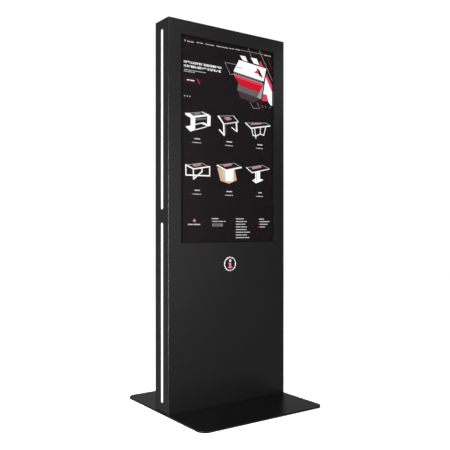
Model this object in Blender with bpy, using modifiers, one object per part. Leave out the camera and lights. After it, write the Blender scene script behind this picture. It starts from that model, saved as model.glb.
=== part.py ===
"""A floor-standing touchscreen kiosk: a thin upright steel casing on a flat base plate.

The casing is one sheet folded round the front and both sides. It holds a portrait touchscreen
behind a framed window, and lit slots run up both sides. Two hinged doors close the back.

Frame: the origin is on the floor under the middle of the base, +X is to the right of a person
facing the screen, +Y is towards the back and +Z is up. All sizes are in metres.
"""

import math

import bmesh
import bpy
from mathutils import Vector

# Overall sizes
OVERALL_HEIGHT = 1.780
BODY_WIDTH = 0.670
BODY_DEPTH = 0.120
BASE_WIDTH = 0.680
BASE_DEPTH = 0.685

# Clearances
FIT_GAP = 0.0003            # between pieces that rest on each other
DOOR_GAP = 0.003            # round a door
RUN_CLEARANCE = 0.0003      # round a shaft, all the way round
HOLE_CLEARANCE = 0.0006     # round a fixed piece in its hole
CUT_MARGIN = 0.002          # cutter past the faces that it cuts

# Sheet metal
SHEET = 0.0015
BEND_RADIUS = 0.003         # outside of a fold
REAR_FLANGE = 0.022         # casing flange at each side of the doors
JAMB_DEPTH = 0.016          # fold beside the doors that the lock cams catch behind
HEADER_HEIGHT = 0.028
SILL_HEIGHT = 0.070
SILL_FOOT = 0.030
RAIL_FLANGE = 0.012

# Base
BASE_THICKNESS = 0.008
BASE_CORNER_RADIUS = 0.040
PAD_DIAMETER = 0.040
PAD_THICKNESS = 0.002
PAD_INSET = 0.045
FOOT_THICKNESS = 0.006
FOOT_REACH = 0.045          # foot plate past the inner face of its upright
FOOT_DEPTH = 0.072
FOOT_CLEARANCE = 0.004      # between the foot plate and the casing's front
BOLT_DIAMETER = 0.008
BOLT_HEAD_DIAMETER = 0.016
BOLT_SPACING = 0.050
BOLT_KEY = 0.005            # across the flats of the hexagon socket
BOLT_KEY_DEPTH = 0.003

# Screen, front to back
ACTIVE_WIDTH = 0.535
ACTIVE_HEIGHT = 0.952
WINDOW_REVEAL = 0.0025      # window edge outside the picture, at each side
WINDOW_OVERLAP = 0.005      # window edge over the picture, at top and bottom
WINDOW_MARGIN_TOP = 0.065
LIP_DEPTH = 0.0065
GASKET_THICKNESS = 0.001
GASKET_INSET = 0.001
GASKET_WIDTH = 0.010
GLASS_BORDER = 0.012
GLASS_THICKNESS = 0.003
BOND_GAP = 0.0008
CELL_BORDER = 0.0055
CELL_THICKNESS = 0.002
TRAY_DEPTH = 0.028
TRAY_WALL = 0.001
FRAME_WALL = 0.003
FRAME_DEPTH = 0.015

# Inner frame
UPRIGHT_SIZE = 0.025
UPRIGHT_WALL = 0.002
UPRIGHT_CLEARANCE = 0.0035
DISPLAY_RAIL_HEIGHT = 0.040
DISPLAY_RAIL_SPACING = 0.440
MIDDLE_RAIL_HEIGHT = 0.036
DOOR_SPLIT_HEIGHT = 0.735

# Side lights
SLOT_WIDTH = 0.026
SLOT_END_MARGIN = 0.042
SLOT_SPACING = 0.060        # between the upper and the lower slot
DIFFUSER_BORDER = 0.004
DIFFUSER_THICKNESS = 0.003
LIGHT_BAR_DEPTH = 0.014
LIGHT_BAR_WALL = 0.0015

# Emblem
EMBLEM_HEIGHT = 0.671
EMBLEM_DIAMETER = 0.068
EMBLEM_RING_WIDTH = 0.005
EMBLEM_RING_THICKNESS = 0.003
EMBLEM_DISC_THICKNESS = 0.002

# Doors
DOOR_RETURN = 0.014
VENT_LENGTH = 0.080
VENT_WIDTH = 0.005
VENT_PITCH = 0.010
VENT_COLUMN_SPACING = 0.150
UPPER_VENT_ROWS = 8
LOWER_VENT_ROWS = 6
UPPER_VENT_DROP = 0.090     # middle of the vents below the door's top edge
LOWER_VENT_RISE = 0.085     # middle of the vents above the door's bottom edge
DOOR_SWING_MARGIN = 0.140   # hinge's middle from the door's end

# Lift-off hinges
BARREL_DIAMETER = 0.010
HINGE_HEIGHT = 0.050
HINGE_PIN_DIAMETER = 0.0054
HINGE_CAP = 0.0015
LEAF_THICKNESS = 0.002
FIXED_LEAF_REACH = 0.0195
DOOR_LEAF_REACH = 0.028
HINGE_SPLIT_GAP = 0.0005

# Cam locks
LOCK_INSET = 0.025          # lock's middle from the door's free edge
LOCK_BODY_DIAMETER = 0.018
LOCK_FLANGE_DIAMETER = 0.022
LOCK_FLANGE_THICKNESS = 0.002
PLUG_DIAMETER = 0.012
PLUG_PROUD = 0.0005         # plug's face past the flange
KEYWAY_LENGTH = 0.008
KEYWAY_WIDTH = 0.0012
KEYWAY_DEPTH = 0.003
CAM_WIDTH = 0.014
CAM_THICKNESS = 0.0025
CAM_OVERLAP = 0.008         # cam past the jamb when it is turned home
CAM_CLEARANCE = 0.001

# Cooling fan, on the upper door
FAN_SIZE = 0.080
FAN_DEPTH = 0.025
FAN_BORE = 0.076
FAN_HUB_DIAMETER = 0.032
FAN_TIP_CLEARANCE = 0.0015
FAN_BLADES = 7
FAN_BLADE_THICKNESS = 0.0014
FAN_BLADE_PITCH = 38.0      # degrees
BLADE_FLARE = 0.6           # how much wider a blade is at its tip
FAN_STRUT = 0.004
FAN_PLATE_THICKNESS = 0.003

# Computer, power and cables, on the component plate
PLATE_LOW = 0.160
PLATE_HIGH = 0.620
COMPUTER_SIZE = (0.200, 0.045, 0.200)
COMPUTER_LEFT = -0.240
COMPUTER_LOW = 0.360
COVER_WALL = 0.0012
BUTTON_DIAMETER = 0.012
BUTTON_PROUD = 0.002
BUTTON_FLANGE = 0.001       # rim that keeps the button in its hole, all the way round
BUTTON_INSET = 0.025
DRIVER_SIZE = (0.200, 0.032, 0.050)
DRIVER_LEFT = 0.030
DRIVER_LOW = 0.420
STRIP_SIZE = (0.340, 0.040, 0.045)
STRIP_LEFT = -0.240
STRIP_LOW = 0.200
OUTLET_COUNT = 5
OUTLET_DIAMETER = 0.037
OUTLET_DEPTH = 0.003
BOARD_SIZE = (0.240, 0.022, 0.200)
COVER_CORNER_RADIUS = 0.008
CABLE_DIAMETER = 0.007
CABLE_LANE = 0.003          # y of the cables that run up behind the rails

# Power inlet with its switch, in the sill
INLET_X = 0.220
INLET_FLANGE = (0.058, 0.032)
INLET_FLANGE_THICKNESS = 0.002
INLET_BODY = (0.050, 0.027)
INLET_DEPTH = 0.024
SOCKET_SIZE = (0.0245, 0.017)
SOCKET_DEPTH = 0.016
SOCKET_OFFSET = -0.0115
SWITCH_OFFSET = 0.0145
SWITCH_WIDTH = 0.0115
SWITCH_HEIGHT = 0.017
SWITCH_TIP = 0.006          # rocker's ends past its pivot
SWITCH_WAIST = 0.0042       # rocker's middle past its pivot
SWITCH_ROOT = 0.003         # rocker behind its pivot
SWITCH_TILT = 12.0          # degrees to each side of the middle
SWITCH_WELL = (0.0125, 0.0208)
SWITCH_WELL_DEPTH = 0.009
SWITCH_PIVOT_DEPTH = 0.002  # pivot behind the flange's face

# Places worked out from the sizes above
FRONT = -BODY_DEPTH / 2
BACK = BODY_DEPTH / 2
SIDE = BODY_WIDTH / 2
BASE_LOW = PAD_THICKNESS + FIT_GAP
BASE_TOP = BASE_LOW + BASE_THICKNESS
BODY_LOW = BASE_TOP + FIT_GAP
CAP_LOW = OVERALL_HEIGHT - SHEET
CASING_TOP = CAP_LOW - FIT_GAP
OPENING_HALF = SIDE - REAR_FLANGE           # half the width of the opening at the back
DOOR_HALF = OPENING_HALF - DOOR_GAP
HEADER_LOW = OVERALL_HEIGHT - HEADER_HEIGHT
SILL_TOP = BODY_LOW + SILL_HEIGHT

WINDOW_WIDTH = ACTIVE_WIDTH + 2 * WINDOW_REVEAL
WINDOW_HEIGHT = ACTIVE_HEIGHT - 2 * WINDOW_OVERLAP
SCREEN_HEIGHT = OVERALL_HEIGHT - WINDOW_MARGIN_TOP - WINDOW_HEIGHT / 2

LIP_BACK = FRONT + LIP_DEPTH
GASKET_FRONT = LIP_BACK + FIT_GAP
GLASS_FRONT = GASKET_FRONT + GASKET_THICKNESS + FIT_GAP
GLASS_BACK = GLASS_FRONT + GLASS_THICKNESS
CELL_FRONT = GLASS_BACK + BOND_GAP
TRAY_FRONT = CELL_FRONT + CELL_THICKNESS + FIT_GAP
TRAY_BACK = TRAY_FRONT + TRAY_DEPTH
CELL_WIDTH = ACTIVE_WIDTH + 2 * CELL_BORDER
CELL_HEIGHT = ACTIVE_HEIGHT + 2 * CELL_BORDER
MODULE_HALF = CELL_WIDTH / 2 + FIT_GAP + FRAME_WALL

UPRIGHT_INNER = MODULE_HALF + UPRIGHT_CLEARANCE
UPRIGHT_OUTER = UPRIGHT_INNER + UPRIGHT_SIZE
RAIL_FRONT = TRAY_BACK + FIT_GAP            # front face of the rails and the component plate
SHELF = RAIL_FRONT + SHEET + FIT_GAP        # where what is screwed to the plate starts
FOOT_MIDDLE = FRONT + SHEET + FOOT_CLEARANCE + FOOT_DEPTH / 2
BOLT_X = UPRIGHT_INNER - FOOT_REACH / 2

HINGE_X = -(OPENING_HALF - DOOR_GAP / 2)
HINGE_Y = BACK + FIT_GAP + BARREL_DIAMETER / 2
LOCK_X = DOOR_HALF - LOCK_INSET
JAMB_EDGE = BACK - JAMB_DEPTH
CAM_FRONT = JAMB_EDGE - CAM_CLEARANCE       # the cam's face that meets the jamb
INLET_Z = BODY_LOW + SILL_HEIGHT / 2

CORNER_STEPS = 6
ROUND_SIDES = 24
FINE_SIDES = 48


def clear_scene():
    for obj in list(bpy.data.objects):
        bpy.data.objects.remove(obj)


def new_collection(name):
    found = bpy.data.collections.new(name)
    bpy.context.scene.collection.children.link(found)
    return found


def make_material(name, colour, roughness, metallic=0.0, alpha=1.0, glow=0.0):
    material = bpy.data.materials.new(name)
    material.use_nodes = True
    shader = material.node_tree.nodes["Principled BSDF"]
    shader.inputs["Base Color"].default_value = (*colour, 1.0)
    shader.inputs["Roughness"].default_value = roughness
    shader.inputs["Metallic"].default_value = metallic
    shader.inputs["Alpha"].default_value = alpha
    shader.inputs["Emission Color"].default_value = (*colour, 1.0)
    shader.inputs["Emission Strength"].default_value = glow
    return material


clear_scene()
PARTS = new_collection("touchscreen_kiosk")
HELPERS = new_collection("cutters_and_joins")

BLACK_PAINT = make_material("black_powder_coat", (0.028, 0.028, 0.028), 0.42)
ZINC = make_material("zinc_plated_steel", (0.55, 0.56, 0.58), 0.35, metallic=1.0)
ALUMINIUM = make_material("aluminium", (0.70, 0.71, 0.72), 0.32, metallic=1.0)
RUBBER = make_material("black_rubber", (0.02, 0.02, 0.02), 0.85)
FOAM = make_material("black_foam", (0.015, 0.015, 0.015), 0.95)
GLASS = make_material("touch_glass", (0.85, 0.90, 0.90), 0.05, alpha=0.2)
SCREEN = make_material("screen_face", (0.012, 0.011, 0.012), 0.30)
OPAL = make_material("opal_diffuser", (0.95, 0.95, 0.95), 0.50, glow=2.0)
PLASTIC = make_material("black_plastic", (0.02, 0.02, 0.022), 0.55)
GREY_STEEL = make_material("grey_steel_cover", (0.35, 0.36, 0.37), 0.45, metallic=0.8)
WHITE_ACRYLIC = make_material("white_acrylic", (0.85, 0.85, 0.85), 0.25)
DARK_ACRYLIC = make_material("dark_acrylic", (0.012, 0.010, 0.011), 0.10)
CHROME = make_material("chrome", (0.80, 0.80, 0.80), 0.10, metallic=1.0)
CABLE_JACKET = make_material("cable_jacket", (0.018, 0.018, 0.018), 0.60)


def link(name, mesh, material, helper=False):
    """A new object of this mesh, as a part or as a hidden helper."""
    obj = bpy.data.objects.new(name, mesh)
    (HELPERS if helper else PARTS).objects.link(obj)
    if helper:
        obj.hide_render = True
        obj.display_type = "WIRE"
    else:
        mesh.materials.append(material)
    return obj


def mesh_from(bm, name, smooth=True):
    bmesh.ops.recalc_face_normals(bm, faces=bm.faces)
    mesh = bpy.data.meshes.new(name)
    bm.to_mesh(mesh)
    bm.free()
    if smooth:
        mesh.shade_smooth()
        mesh.set_sharp_from_angle(angle=math.radians(35))
    return mesh


def box_into(bm, low, high, round_axis=None, radius=0.0, steps=CORNER_STEPS):
    """Adds a box between two corners to bm. Its edges along round_axis are rounded."""
    low, high = Vector(low), Vector(high)
    made = bmesh.ops.create_cube(bm, size=1.0)["verts"]
    bmesh.ops.scale(bm, vec=high - low, verts=made)
    bmesh.ops.translate(bm, vec=(low + high) / 2, verts=made)
    if round_axis is None:
        return
    edges = {edge for vert in made for edge in vert.link_edges}
    along = [e for e in edges if abs((e.verts[1].co - e.verts[0].co).normalized()[round_axis]) > 0.9]
    bmesh.ops.bevel(bm, geom=along, offset=radius, segments=steps, profile=0.5, affect="EDGES")


def box(name, low, high, material=None, helper=False, round_axis=None, radius=0.0, steps=CORNER_STEPS):
    bm = bmesh.new()
    box_into(bm, low, high, round_axis, radius, steps)
    centre = (Vector(low) + Vector(high)) / 2
    bmesh.ops.translate(bm, vec=-centre, verts=bm.verts)
    obj = link(name, mesh_from(bm, name), material, helper)
    obj.location = centre
    return obj


def cylinder(name, diameter, low, high, material=None, helper=False, sides=ROUND_SIDES):
    """A cylinder between two points."""
    low, high = Vector(low), Vector(high)
    bm = bmesh.new()
    radius, length = diameter / 2, (high - low).length
    bmesh.ops.create_cone(
        bm, cap_ends=True, segments=sides, radius1=radius, radius2=radius, depth=length
    )
    obj = link(name, mesh_from(bm, name), material, helper)
    obj.location = (low + high) / 2
    obj.rotation_euler = (high - low).to_track_quat("Z", "Y").to_euler()
    return obj


def shell_box(name, low, high, open_sides, thickness, material, round_axis=None, radius=0.0):
    """A box of sheet whose outside is low to high, without the sides whose outward directions
    are in open_sides. Its edges along round_axis are rounded."""
    bm = bmesh.new()
    box_into(bm, low, high, round_axis, radius, steps=3)
    bm.normal_update()
    gone = [f for f in bm.faces if any(f.normal.dot(Vector(side)) > 0.99 for side in open_sides)]
    bmesh.ops.delete(bm, geom=gone, context="FACES_ONLY")
    centre = (Vector(low) + Vector(high)) / 2
    bmesh.ops.translate(bm, vec=-centre, verts=bm.verts)
    obj = link(name, mesh_from(bm, name, smooth=False), material)
    obj.location = centre
    add_sheet(obj, thickness)
    return obj


def add_sheet(obj, thickness):
    solidify = obj.modifiers.new("sheet", "SOLIDIFY")
    solidify.thickness = thickness
    solidify.offset = -1.0
    solidify.use_even_offset = True
    return solidify


def folded_path(corners, radius, steps=CORNER_STEPS):
    """The points of a path whose inner corners are bends of this radius."""
    points = [Vector(corners[0])]
    for before, corner, after in zip(corners, corners[1:], corners[2:]):
        corner = Vector(corner)
        to_start = (Vector(before) - corner).normalized()
        to_end = (Vector(after) - corner).normalized()
        start, end = corner + to_start * radius, corner + to_end * radius
        centre = corner + (to_start + to_end) * radius
        for step in range(steps + 1):
            angle = math.pi / 2 * step / steps
            points.append(centre + (start - centre) * math.cos(angle) + (end - centre) * math.sin(angle))
    points.append(Vector(corners[-1]))
    return points


def folded_sheet(name, corners, start, length, material, along_x=False):
    """A sheet folded at right angles along corners, which lie on its outside. The path runs in
    X and Y and the sheet rises along Z or, with along_x, in Y and Z and it runs along X."""
    bm = bmesh.new()
    rows = [
        [bm.verts.new((p.x, p.y, height)) for p in folded_path(corners, BEND_RADIUS)]
        for height in (0.0, length)
    ]
    for low, low_next, high, high_next in zip(rows[0], rows[0][1:], rows[1], rows[1][1:]):
        bm.faces.new((low, high, high_next, low_next))
    mesh = bpy.data.meshes.new(name)
    bm.to_mesh(mesh)
    bm.free()
    obj = link(name, mesh, material)
    if along_x:
        obj.location = (start, 0.0, 0.0)
        obj.rotation_euler = (math.pi / 2, 0.0, math.pi / 2)
    else:
        obj.location = (0.0, 0.0, start)
    add_sheet(obj, SHEET)
    return obj


def turned(name, profile, location, direction, material=None, helper=False, sides=ROUND_SIDES):
    """A closed profile of (radius, height) points turned about its axis, which points in
    direction from location. The outer side of the profile runs from top to bottom."""
    bm = bmesh.new()
    verts = [bm.verts.new((radius, 0.0, height)) for radius, height in profile]
    ring = profile[0][0] > 0 and profile[-1][0] > 0
    for first, second in zip(verts, verts[1:]):
        bm.edges.new((first, second))
    if ring:
        bm.edges.new((verts[-1], verts[0]))
    mesh = bpy.data.meshes.new(name)
    bm.to_mesh(mesh)
    bm.free()
    obj = link(name, mesh, material, helper)
    obj.location = location
    obj.rotation_euler = Vector(direction).to_track_quat("Z", "Y").to_euler()
    screw = obj.modifiers.new("turn", "SCREW")
    screw.steps = screw.render_steps = sides
    screw.use_merge_vertices = True
    screw.merge_threshold = 0.00001
    return obj


def combine(obj, operation, *others):
    for other in others:
        boolean = obj.modifiers.new(other.name, "BOOLEAN")
        boolean.operation = operation
        boolean.object = other
    return obj


def cut(obj, *cutters):
    return combine(obj, "DIFFERENCE", *cutters)


def join(obj, *others):
    return combine(obj, "UNION", *others)


def smooth_route(points, spacing):
    """Points about this far apart on one smooth curve through a cable's own points."""
    points = [Vector(p) for p in points]
    ends = [2 * points[0] - points[1], *points, 2 * points[-1] - points[-2]]
    route = []
    for a, b, c, d in zip(ends, ends[1:], ends[2:], ends[3:]):
        steps = max(2, round((c - b).length / spacing))
        for step in range(steps):
            t = step / steps
            route.append(0.5 * (2 * b + (c - a) * t + (2 * a - 5 * b + 4 * c - d) * t**2
                                + (3 * b - a - 3 * c + d) * t**3))
    return [*route, points[-1]]


def cable(name, points):
    """A round cable along a smooth route, with its end caps welded on."""
    curve = bpy.data.curves.new(f"{name}_route", "CURVE")
    curve.dimensions = "3D"
    curve.bevel_depth = CABLE_DIAMETER / 2
    curve.bevel_resolution = 2
    curve.use_fill_caps = True
    route = smooth_route(points, 3 * CABLE_DIAMETER)
    spline = curve.splines.new("POLY")
    spline.points.add(len(route) - 1)
    for point, place in zip(spline.points, route):
        point.co = (*place, 1.0)
    tube = bpy.data.objects.new(f"{name}_route", curve)
    HELPERS.objects.link(tube)
    tube_now = tube.evaluated_get(bpy.context.evaluated_depsgraph_get())
    bm = bmesh.new()
    bm.from_mesh(bpy.data.meshes.new_from_object(tube_now))
    bmesh.ops.remove_doubles(bm, verts=bm.verts, dist=0.00001)
    bpy.data.objects.remove(tube)
    return link(name, mesh_from(bm, name), CABLE_JACKET)


def bolt_places():
    for side_name, side in (("left", -1), ("right", 1)):
        for row_name, row in (("front", -1), ("back", 1)):
            yield f"{row_name}_{side_name}", side * BOLT_X, FOOT_MIDDLE + row * BOLT_SPACING / 2


def build_base():
    base = box(
        "base_plate",
        (-BASE_WIDTH / 2, -BASE_DEPTH / 2, BASE_LOW),
        (BASE_WIDTH / 2, BASE_DEPTH / 2, BASE_TOP),
        BLACK_PAINT, round_axis=2, radius=BASE_CORNER_RADIUS, steps=12,
    )
    for name, x, y in bolt_places():
        hole_radius = BOLT_DIAMETER / 2 + HOLE_CLEARANCE
        head_radius = BOLT_HEAD_DIAMETER / 2 + HOLE_CLEARANCE
        seat = head_radius - hole_radius
        hole = turned(
            f"bolt_hole_{name}",
            [(0, BASE_THICKNESS + CUT_MARGIN), (hole_radius, BASE_THICKNESS + CUT_MARGIN),
             (hole_radius, seat + FIT_GAP), (head_radius, FIT_GAP), (head_radius, -CUT_MARGIN),
             (0, -CUT_MARGIN)],
            (x, y, BASE_LOW), (0, 0, 1), helper=True,
        )
        cut(base, hole)
        build_bolt(f"foot_bolt_{name}", x, y)
    for row_name, row in (("front", -1), ("back", 1)):
        for side_name, side in (("left", -1), ("right", 1)):
            x = side * (BASE_WIDTH / 2 - PAD_INSET)
            y = row * (BASE_DEPTH / 2 - PAD_INSET)
            cylinder(
                f"base_pad_{row_name}_{side_name}", PAD_DIAMETER,
                (x, y, 0.0), (x, y, PAD_THICKNESS), RUBBER, sides=32,
            )


def build_bolt(name, x, y):
    """A countersunk bolt, up through the base plate into the foot of an upright."""
    length = BODY_LOW + FOOT_THICKNESS - BASE_LOW
    shank, head = BOLT_DIAMETER / 2, BOLT_HEAD_DIAMETER / 2
    bolt = turned(
        name,
        [(0, length), (0.8 * shank, length), (shank, length - 0.2 * shank), (shank, head - shank),
         (head, FIT_GAP), (0, FIT_GAP)],
        (x, y, BASE_LOW), (0, 0, 1), ZINC,
    )
    across_corners = BOLT_KEY / math.cos(math.pi / 6)
    socket = cylinder(
        f"key_{name}", across_corners, (x, y, BASE_LOW - CUT_MARGIN), (x, y, BASE_LOW + BOLT_KEY_DEPTH),
        helper=True, sides=6,
    )
    cut(bolt, socket)


def build_uprights():
    top = CASING_TOP - FIT_GAP
    front = TRAY_BACK - UPRIGHT_SIZE
    for side_name, side in (("left", -1), ("right", 1)):
        x_low, x_high = sorted((side * UPRIGHT_INNER, side * UPRIGHT_OUTER))
        upright = shell_box(
            f"{side_name}_upright", (x_low, front, BODY_LOW + FOOT_THICKNESS / 2),
            (x_high, TRAY_BACK, top), [(0, 0, 1), (0, 0, -1)], UPRIGHT_WALL, ZINC,
        )
        foot_low, foot_high = sorted((side * (UPRIGHT_INNER - FOOT_REACH), side * UPRIGHT_OUTER))
        foot = box(
            f"foot_{side_name}", (foot_low, FOOT_MIDDLE - FOOT_DEPTH / 2, BODY_LOW),
            (foot_high, FOOT_MIDDLE + FOOT_DEPTH / 2, BODY_LOW + FOOT_THICKNESS), helper=True,
        )
        join(upright, foot)
        for name, x, y in bolt_places():
            if name.endswith(side_name):
                hole = cylinder(
                    f"foot_hole_{name}", BOLT_DIAMETER + 2 * HOLE_CLEARANCE,
                    (x, y, BASE_TOP), (x, y, BODY_LOW + 2 * FOOT_THICKNESS), helper=True,
                )
                cut(upright, hole)
    shell_box(
        "top_crossmember",
        (-UPRIGHT_INNER + FIT_GAP, front, top - UPRIGHT_SIZE),
        (UPRIGHT_INNER - FIT_GAP, TRAY_BACK, top), [(1, 0, 0), (-1, 0, 0)], UPRIGHT_WALL, ZINC,
    )


def channel_rail(name, face, low, high, half_length, flange, material):
    """A rail along X whose web is at y = face. Its flanges reach by flange along Y."""
    towards = 1 if flange > 0 else -1
    corners = [(face + flange, low), (face, low), (face, high), (face + flange, high)]
    if towards < 0:
        corners.reverse()
    return folded_sheet(name, corners, -half_length, 2 * half_length, material, along_x=True)


def build_rails():
    for name, side in (("display_rail_upper", 1), ("display_rail_lower", -1)):
        middle = SCREEN_HEIGHT + side * DISPLAY_RAIL_SPACING / 2
        half = DISPLAY_RAIL_HEIGHT / 2
        channel_rail(name, RAIL_FRONT, middle - half, middle + half, UPRIGHT_OUTER, RAIL_FLANGE, ZINC)
    channel_rail("component_plate", RAIL_FRONT, PLATE_LOW, PLATE_HIGH, UPRIGHT_OUTER, RAIL_FLANGE, ZINC)
    half = MIDDLE_RAIL_HEIGHT / 2
    channel_rail(
        "middle_rail", BACK - DOOR_RETURN - FIT_GAP, DOOR_SPLIT_HEIGHT - half, DOOR_SPLIT_HEIGHT + half,
        OPENING_HALF - FIT_GAP, -RAIL_FLANGE, BLACK_PAINT,
    )


def slot_spans():
    """(name, low, high) of the lit slots of one side, in z."""
    low, high = BASE_TOP + SLOT_END_MARGIN, OVERALL_HEIGHT - SLOT_END_MARGIN
    middle = (low + high) / 2
    yield "lower", low, middle - SLOT_SPACING / 2
    yield "upper", middle + SLOT_SPACING / 2, high


def build_casing():
    outline = [
        (OPENING_HALF, JAMB_EDGE), (OPENING_HALF, BACK), (SIDE, BACK), (SIDE, FRONT),
        (-SIDE, FRONT), (-SIDE, BACK), (-OPENING_HALF, BACK), (-OPENING_HALF, JAMB_EDGE),
    ]
    casing = folded_sheet("casing", outline, BODY_LOW, CASING_TOP - BODY_LOW, BLACK_PAINT)
    half_width, half_height = WINDOW_WIDTH / 2, WINDOW_HEIGHT / 2
    lip = box(
        "window_lip",
        (-half_width - SHEET, FRONT + SHEET / 2, SCREEN_HEIGHT - half_height - SHEET),
        (half_width + SHEET, LIP_BACK, SCREEN_HEIGHT + half_height + SHEET), helper=True,
    )
    window = box(
        "window_cut",
        (-half_width, FRONT - CUT_MARGIN, SCREEN_HEIGHT - half_height),
        (half_width, LIP_BACK + CUT_MARGIN, SCREEN_HEIGHT + half_height), helper=True,
    )
    cut(join(casing, lip), window)
    for side_name, side in (("left", -1), ("right", 1)):
        for name, low, high in slot_spans():
            x_low, x_high = sorted((side * (SIDE - SHEET - CUT_MARGIN), side * (SIDE + CUT_MARGIN)))
            slot = box(
                f"slot_{side_name}_{name}",
                (x_low, -SLOT_WIDTH / 2, low), (x_high, SLOT_WIDTH / 2, high), helper=True, round_axis=0, radius=0.499 * SLOT_WIDTH, steps=8,
            )
            cut(casing, slot)
    cap = box(
        "top_cover", (-SIDE, FRONT, CAP_LOW), (SIDE, BACK, OVERALL_HEIGHT),
        BLACK_PAINT, round_axis=2, radius=BEND_RADIUS,
    )
    header = box(
        "header", (-OPENING_HALF + FIT_GAP, BACK - SHEET, HEADER_LOW),
        (OPENING_HALF - FIT_GAP, BACK, CAP_LOW + SHEET / 2), helper=True,
    )
    join(cap, header)


def build_side_lights():
    """Opal strips behind the slots, on one light bar to each side."""
    half = SLOT_WIDTH / 2 + DIFFUSER_BORDER
    outer = SIDE - SHEET - FIT_GAP
    inner = outer - DIFFUSER_THICKNESS
    bar_outer = inner - FIT_GAP
    spans = list(slot_spans())
    for side_name, side in (("left", -1), ("right", 1)):
        x_low, x_high = sorted((side * inner, side * outer))
        for name, low, high in spans:
            box(
                f"light_diffuser_{side_name}_{name}",
                (x_low, -half, low - DIFFUSER_BORDER), (x_high, half, high + DIFFUSER_BORDER),
                OPAL, round_axis=0, radius=2 * DIFFUSER_BORDER, steps=4,
            )
        x_low, x_high = sorted((side * (bar_outer - LIGHT_BAR_DEPTH), side * bar_outer))
        shell_box(
            f"light_bar_{side_name}",
            (x_low, -half, spans[0][1] - DIFFUSER_BORDER), (x_high, half, spans[1][2] + DIFFUSER_BORDER),
            [(side, 0, 0)], LIGHT_BAR_WALL, ALUMINIUM,
        )


def screen_box(name, half_width, half_height, front, back, material, helper=False):
    """A box centred on the screen."""
    return box(
        name, (-half_width, front, SCREEN_HEIGHT - half_height),
        (half_width, back, SCREEN_HEIGHT + half_height), material, helper,
    )


def build_screen():
    half_width, half_height = WINDOW_WIDTH / 2, WINDOW_HEIGHT / 2
    outer = GASKET_INSET + GASKET_WIDTH
    gasket = screen_box(
        "glass_gasket", half_width + outer, half_height + outer,
        GASKET_FRONT, GASKET_FRONT + GASKET_THICKNESS, FOAM,
    )
    gasket_hole = screen_box(
        "gasket_hole", half_width + GASKET_INSET, half_height + GASKET_INSET,
        GASKET_FRONT - GASKET_THICKNESS, GASKET_FRONT + 2 * GASKET_THICKNESS, None, helper=True,
    )
    cut(gasket, gasket_hole)
    screen_box(
        "touch_glass", half_width + GLASS_BORDER, half_height + GLASS_BORDER,
        GLASS_FRONT, GLASS_BACK, GLASS,
    )
    screen_box(
        "lcd_panel", CELL_WIDTH / 2, CELL_HEIGHT / 2, CELL_FRONT, CELL_FRONT + CELL_THICKNESS, SCREEN,
    )
    frame_half_height = CELL_HEIGHT / 2 + FIT_GAP + FRAME_WALL
    frame_front = GLASS_BACK + FIT_GAP
    shell_box(
        "lcd_frame",
        (-MODULE_HALF, frame_front, SCREEN_HEIGHT - frame_half_height),
        (MODULE_HALF, frame_front + FRAME_DEPTH, SCREEN_HEIGHT + frame_half_height),
        [(0, 1, 0), (0, -1, 0)], FRAME_WALL, PLASTIC,
    )
    shell_box(
        "backlight_tray",
        (-CELL_WIDTH / 2, TRAY_FRONT, SCREEN_HEIGHT - CELL_HEIGHT / 2),
        (CELL_WIDTH / 2, TRAY_BACK, SCREEN_HEIGHT + CELL_HEIGHT / 2),
        [(0, -1, 0)], TRAY_WALL, GREY_STEEL,
    )
    width, depth, height = BOARD_SIZE
    shell_box(
        "display_board_cover",
        (-width / 2, RAIL_FRONT, SCREEN_HEIGHT - height / 2),
        (width / 2, RAIL_FRONT + depth, SCREEN_HEIGHT + height / 2),
        [(0, -1, 0)], COVER_WALL, GREY_STEEL, round_axis=1, radius=COVER_CORNER_RADIUS,
    )


def build_emblem():
    """A ring round a disc, on the front under the screen. Its axis points out of the front."""
    place = (0.0, FRONT - FIT_GAP, EMBLEM_HEIGHT)
    outer = EMBLEM_DIAMETER / 2
    inner = outer - EMBLEM_RING_WIDTH
    chamfer = EMBLEM_RING_THICKNESS / 4
    turned(
        "emblem_ring",
        [(inner, EMBLEM_RING_THICKNESS - chamfer), (inner + chamfer, EMBLEM_RING_THICKNESS),
         (outer - chamfer, EMBLEM_RING_THICKNESS), (outer, EMBLEM_RING_THICKNESS - chamfer),
         (outer, 0.0), (inner, 0.0)],
        place, (0, -1, 0), WHITE_ACRYLIC, sides=FINE_SIDES,
    )
    disc_back = FRONT - FIT_GAP
    cylinder(
        "emblem_disc", 2 * (inner - FIT_GAP), (0, disc_back, EMBLEM_HEIGHT),
        (0, disc_back - EMBLEM_DISC_THICKNESS, EMBLEM_HEIGHT), DARK_ACRYLIC, sides=FINE_SIDES,
    )


def vent_cutter(name, middle_height, rows):
    bm = bmesh.new()
    for column in (-1, 0, 1):
        x = column * VENT_COLUMN_SPACING
        for row in range(rows):
            z = middle_height + (row - (rows - 1) / 2) * VENT_PITCH
            box_into(
                bm, (x - VENT_LENGTH / 2, BACK - SHEET - CUT_MARGIN, z - VENT_WIDTH / 2),
                (x + VENT_LENGTH / 2, BACK + CUT_MARGIN, z + VENT_WIDTH / 2),
                round_axis=1, radius=0.49 * VENT_WIDTH, steps=3,
            )
    return link(name, mesh_from(bm, name), None, helper=True)


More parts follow.
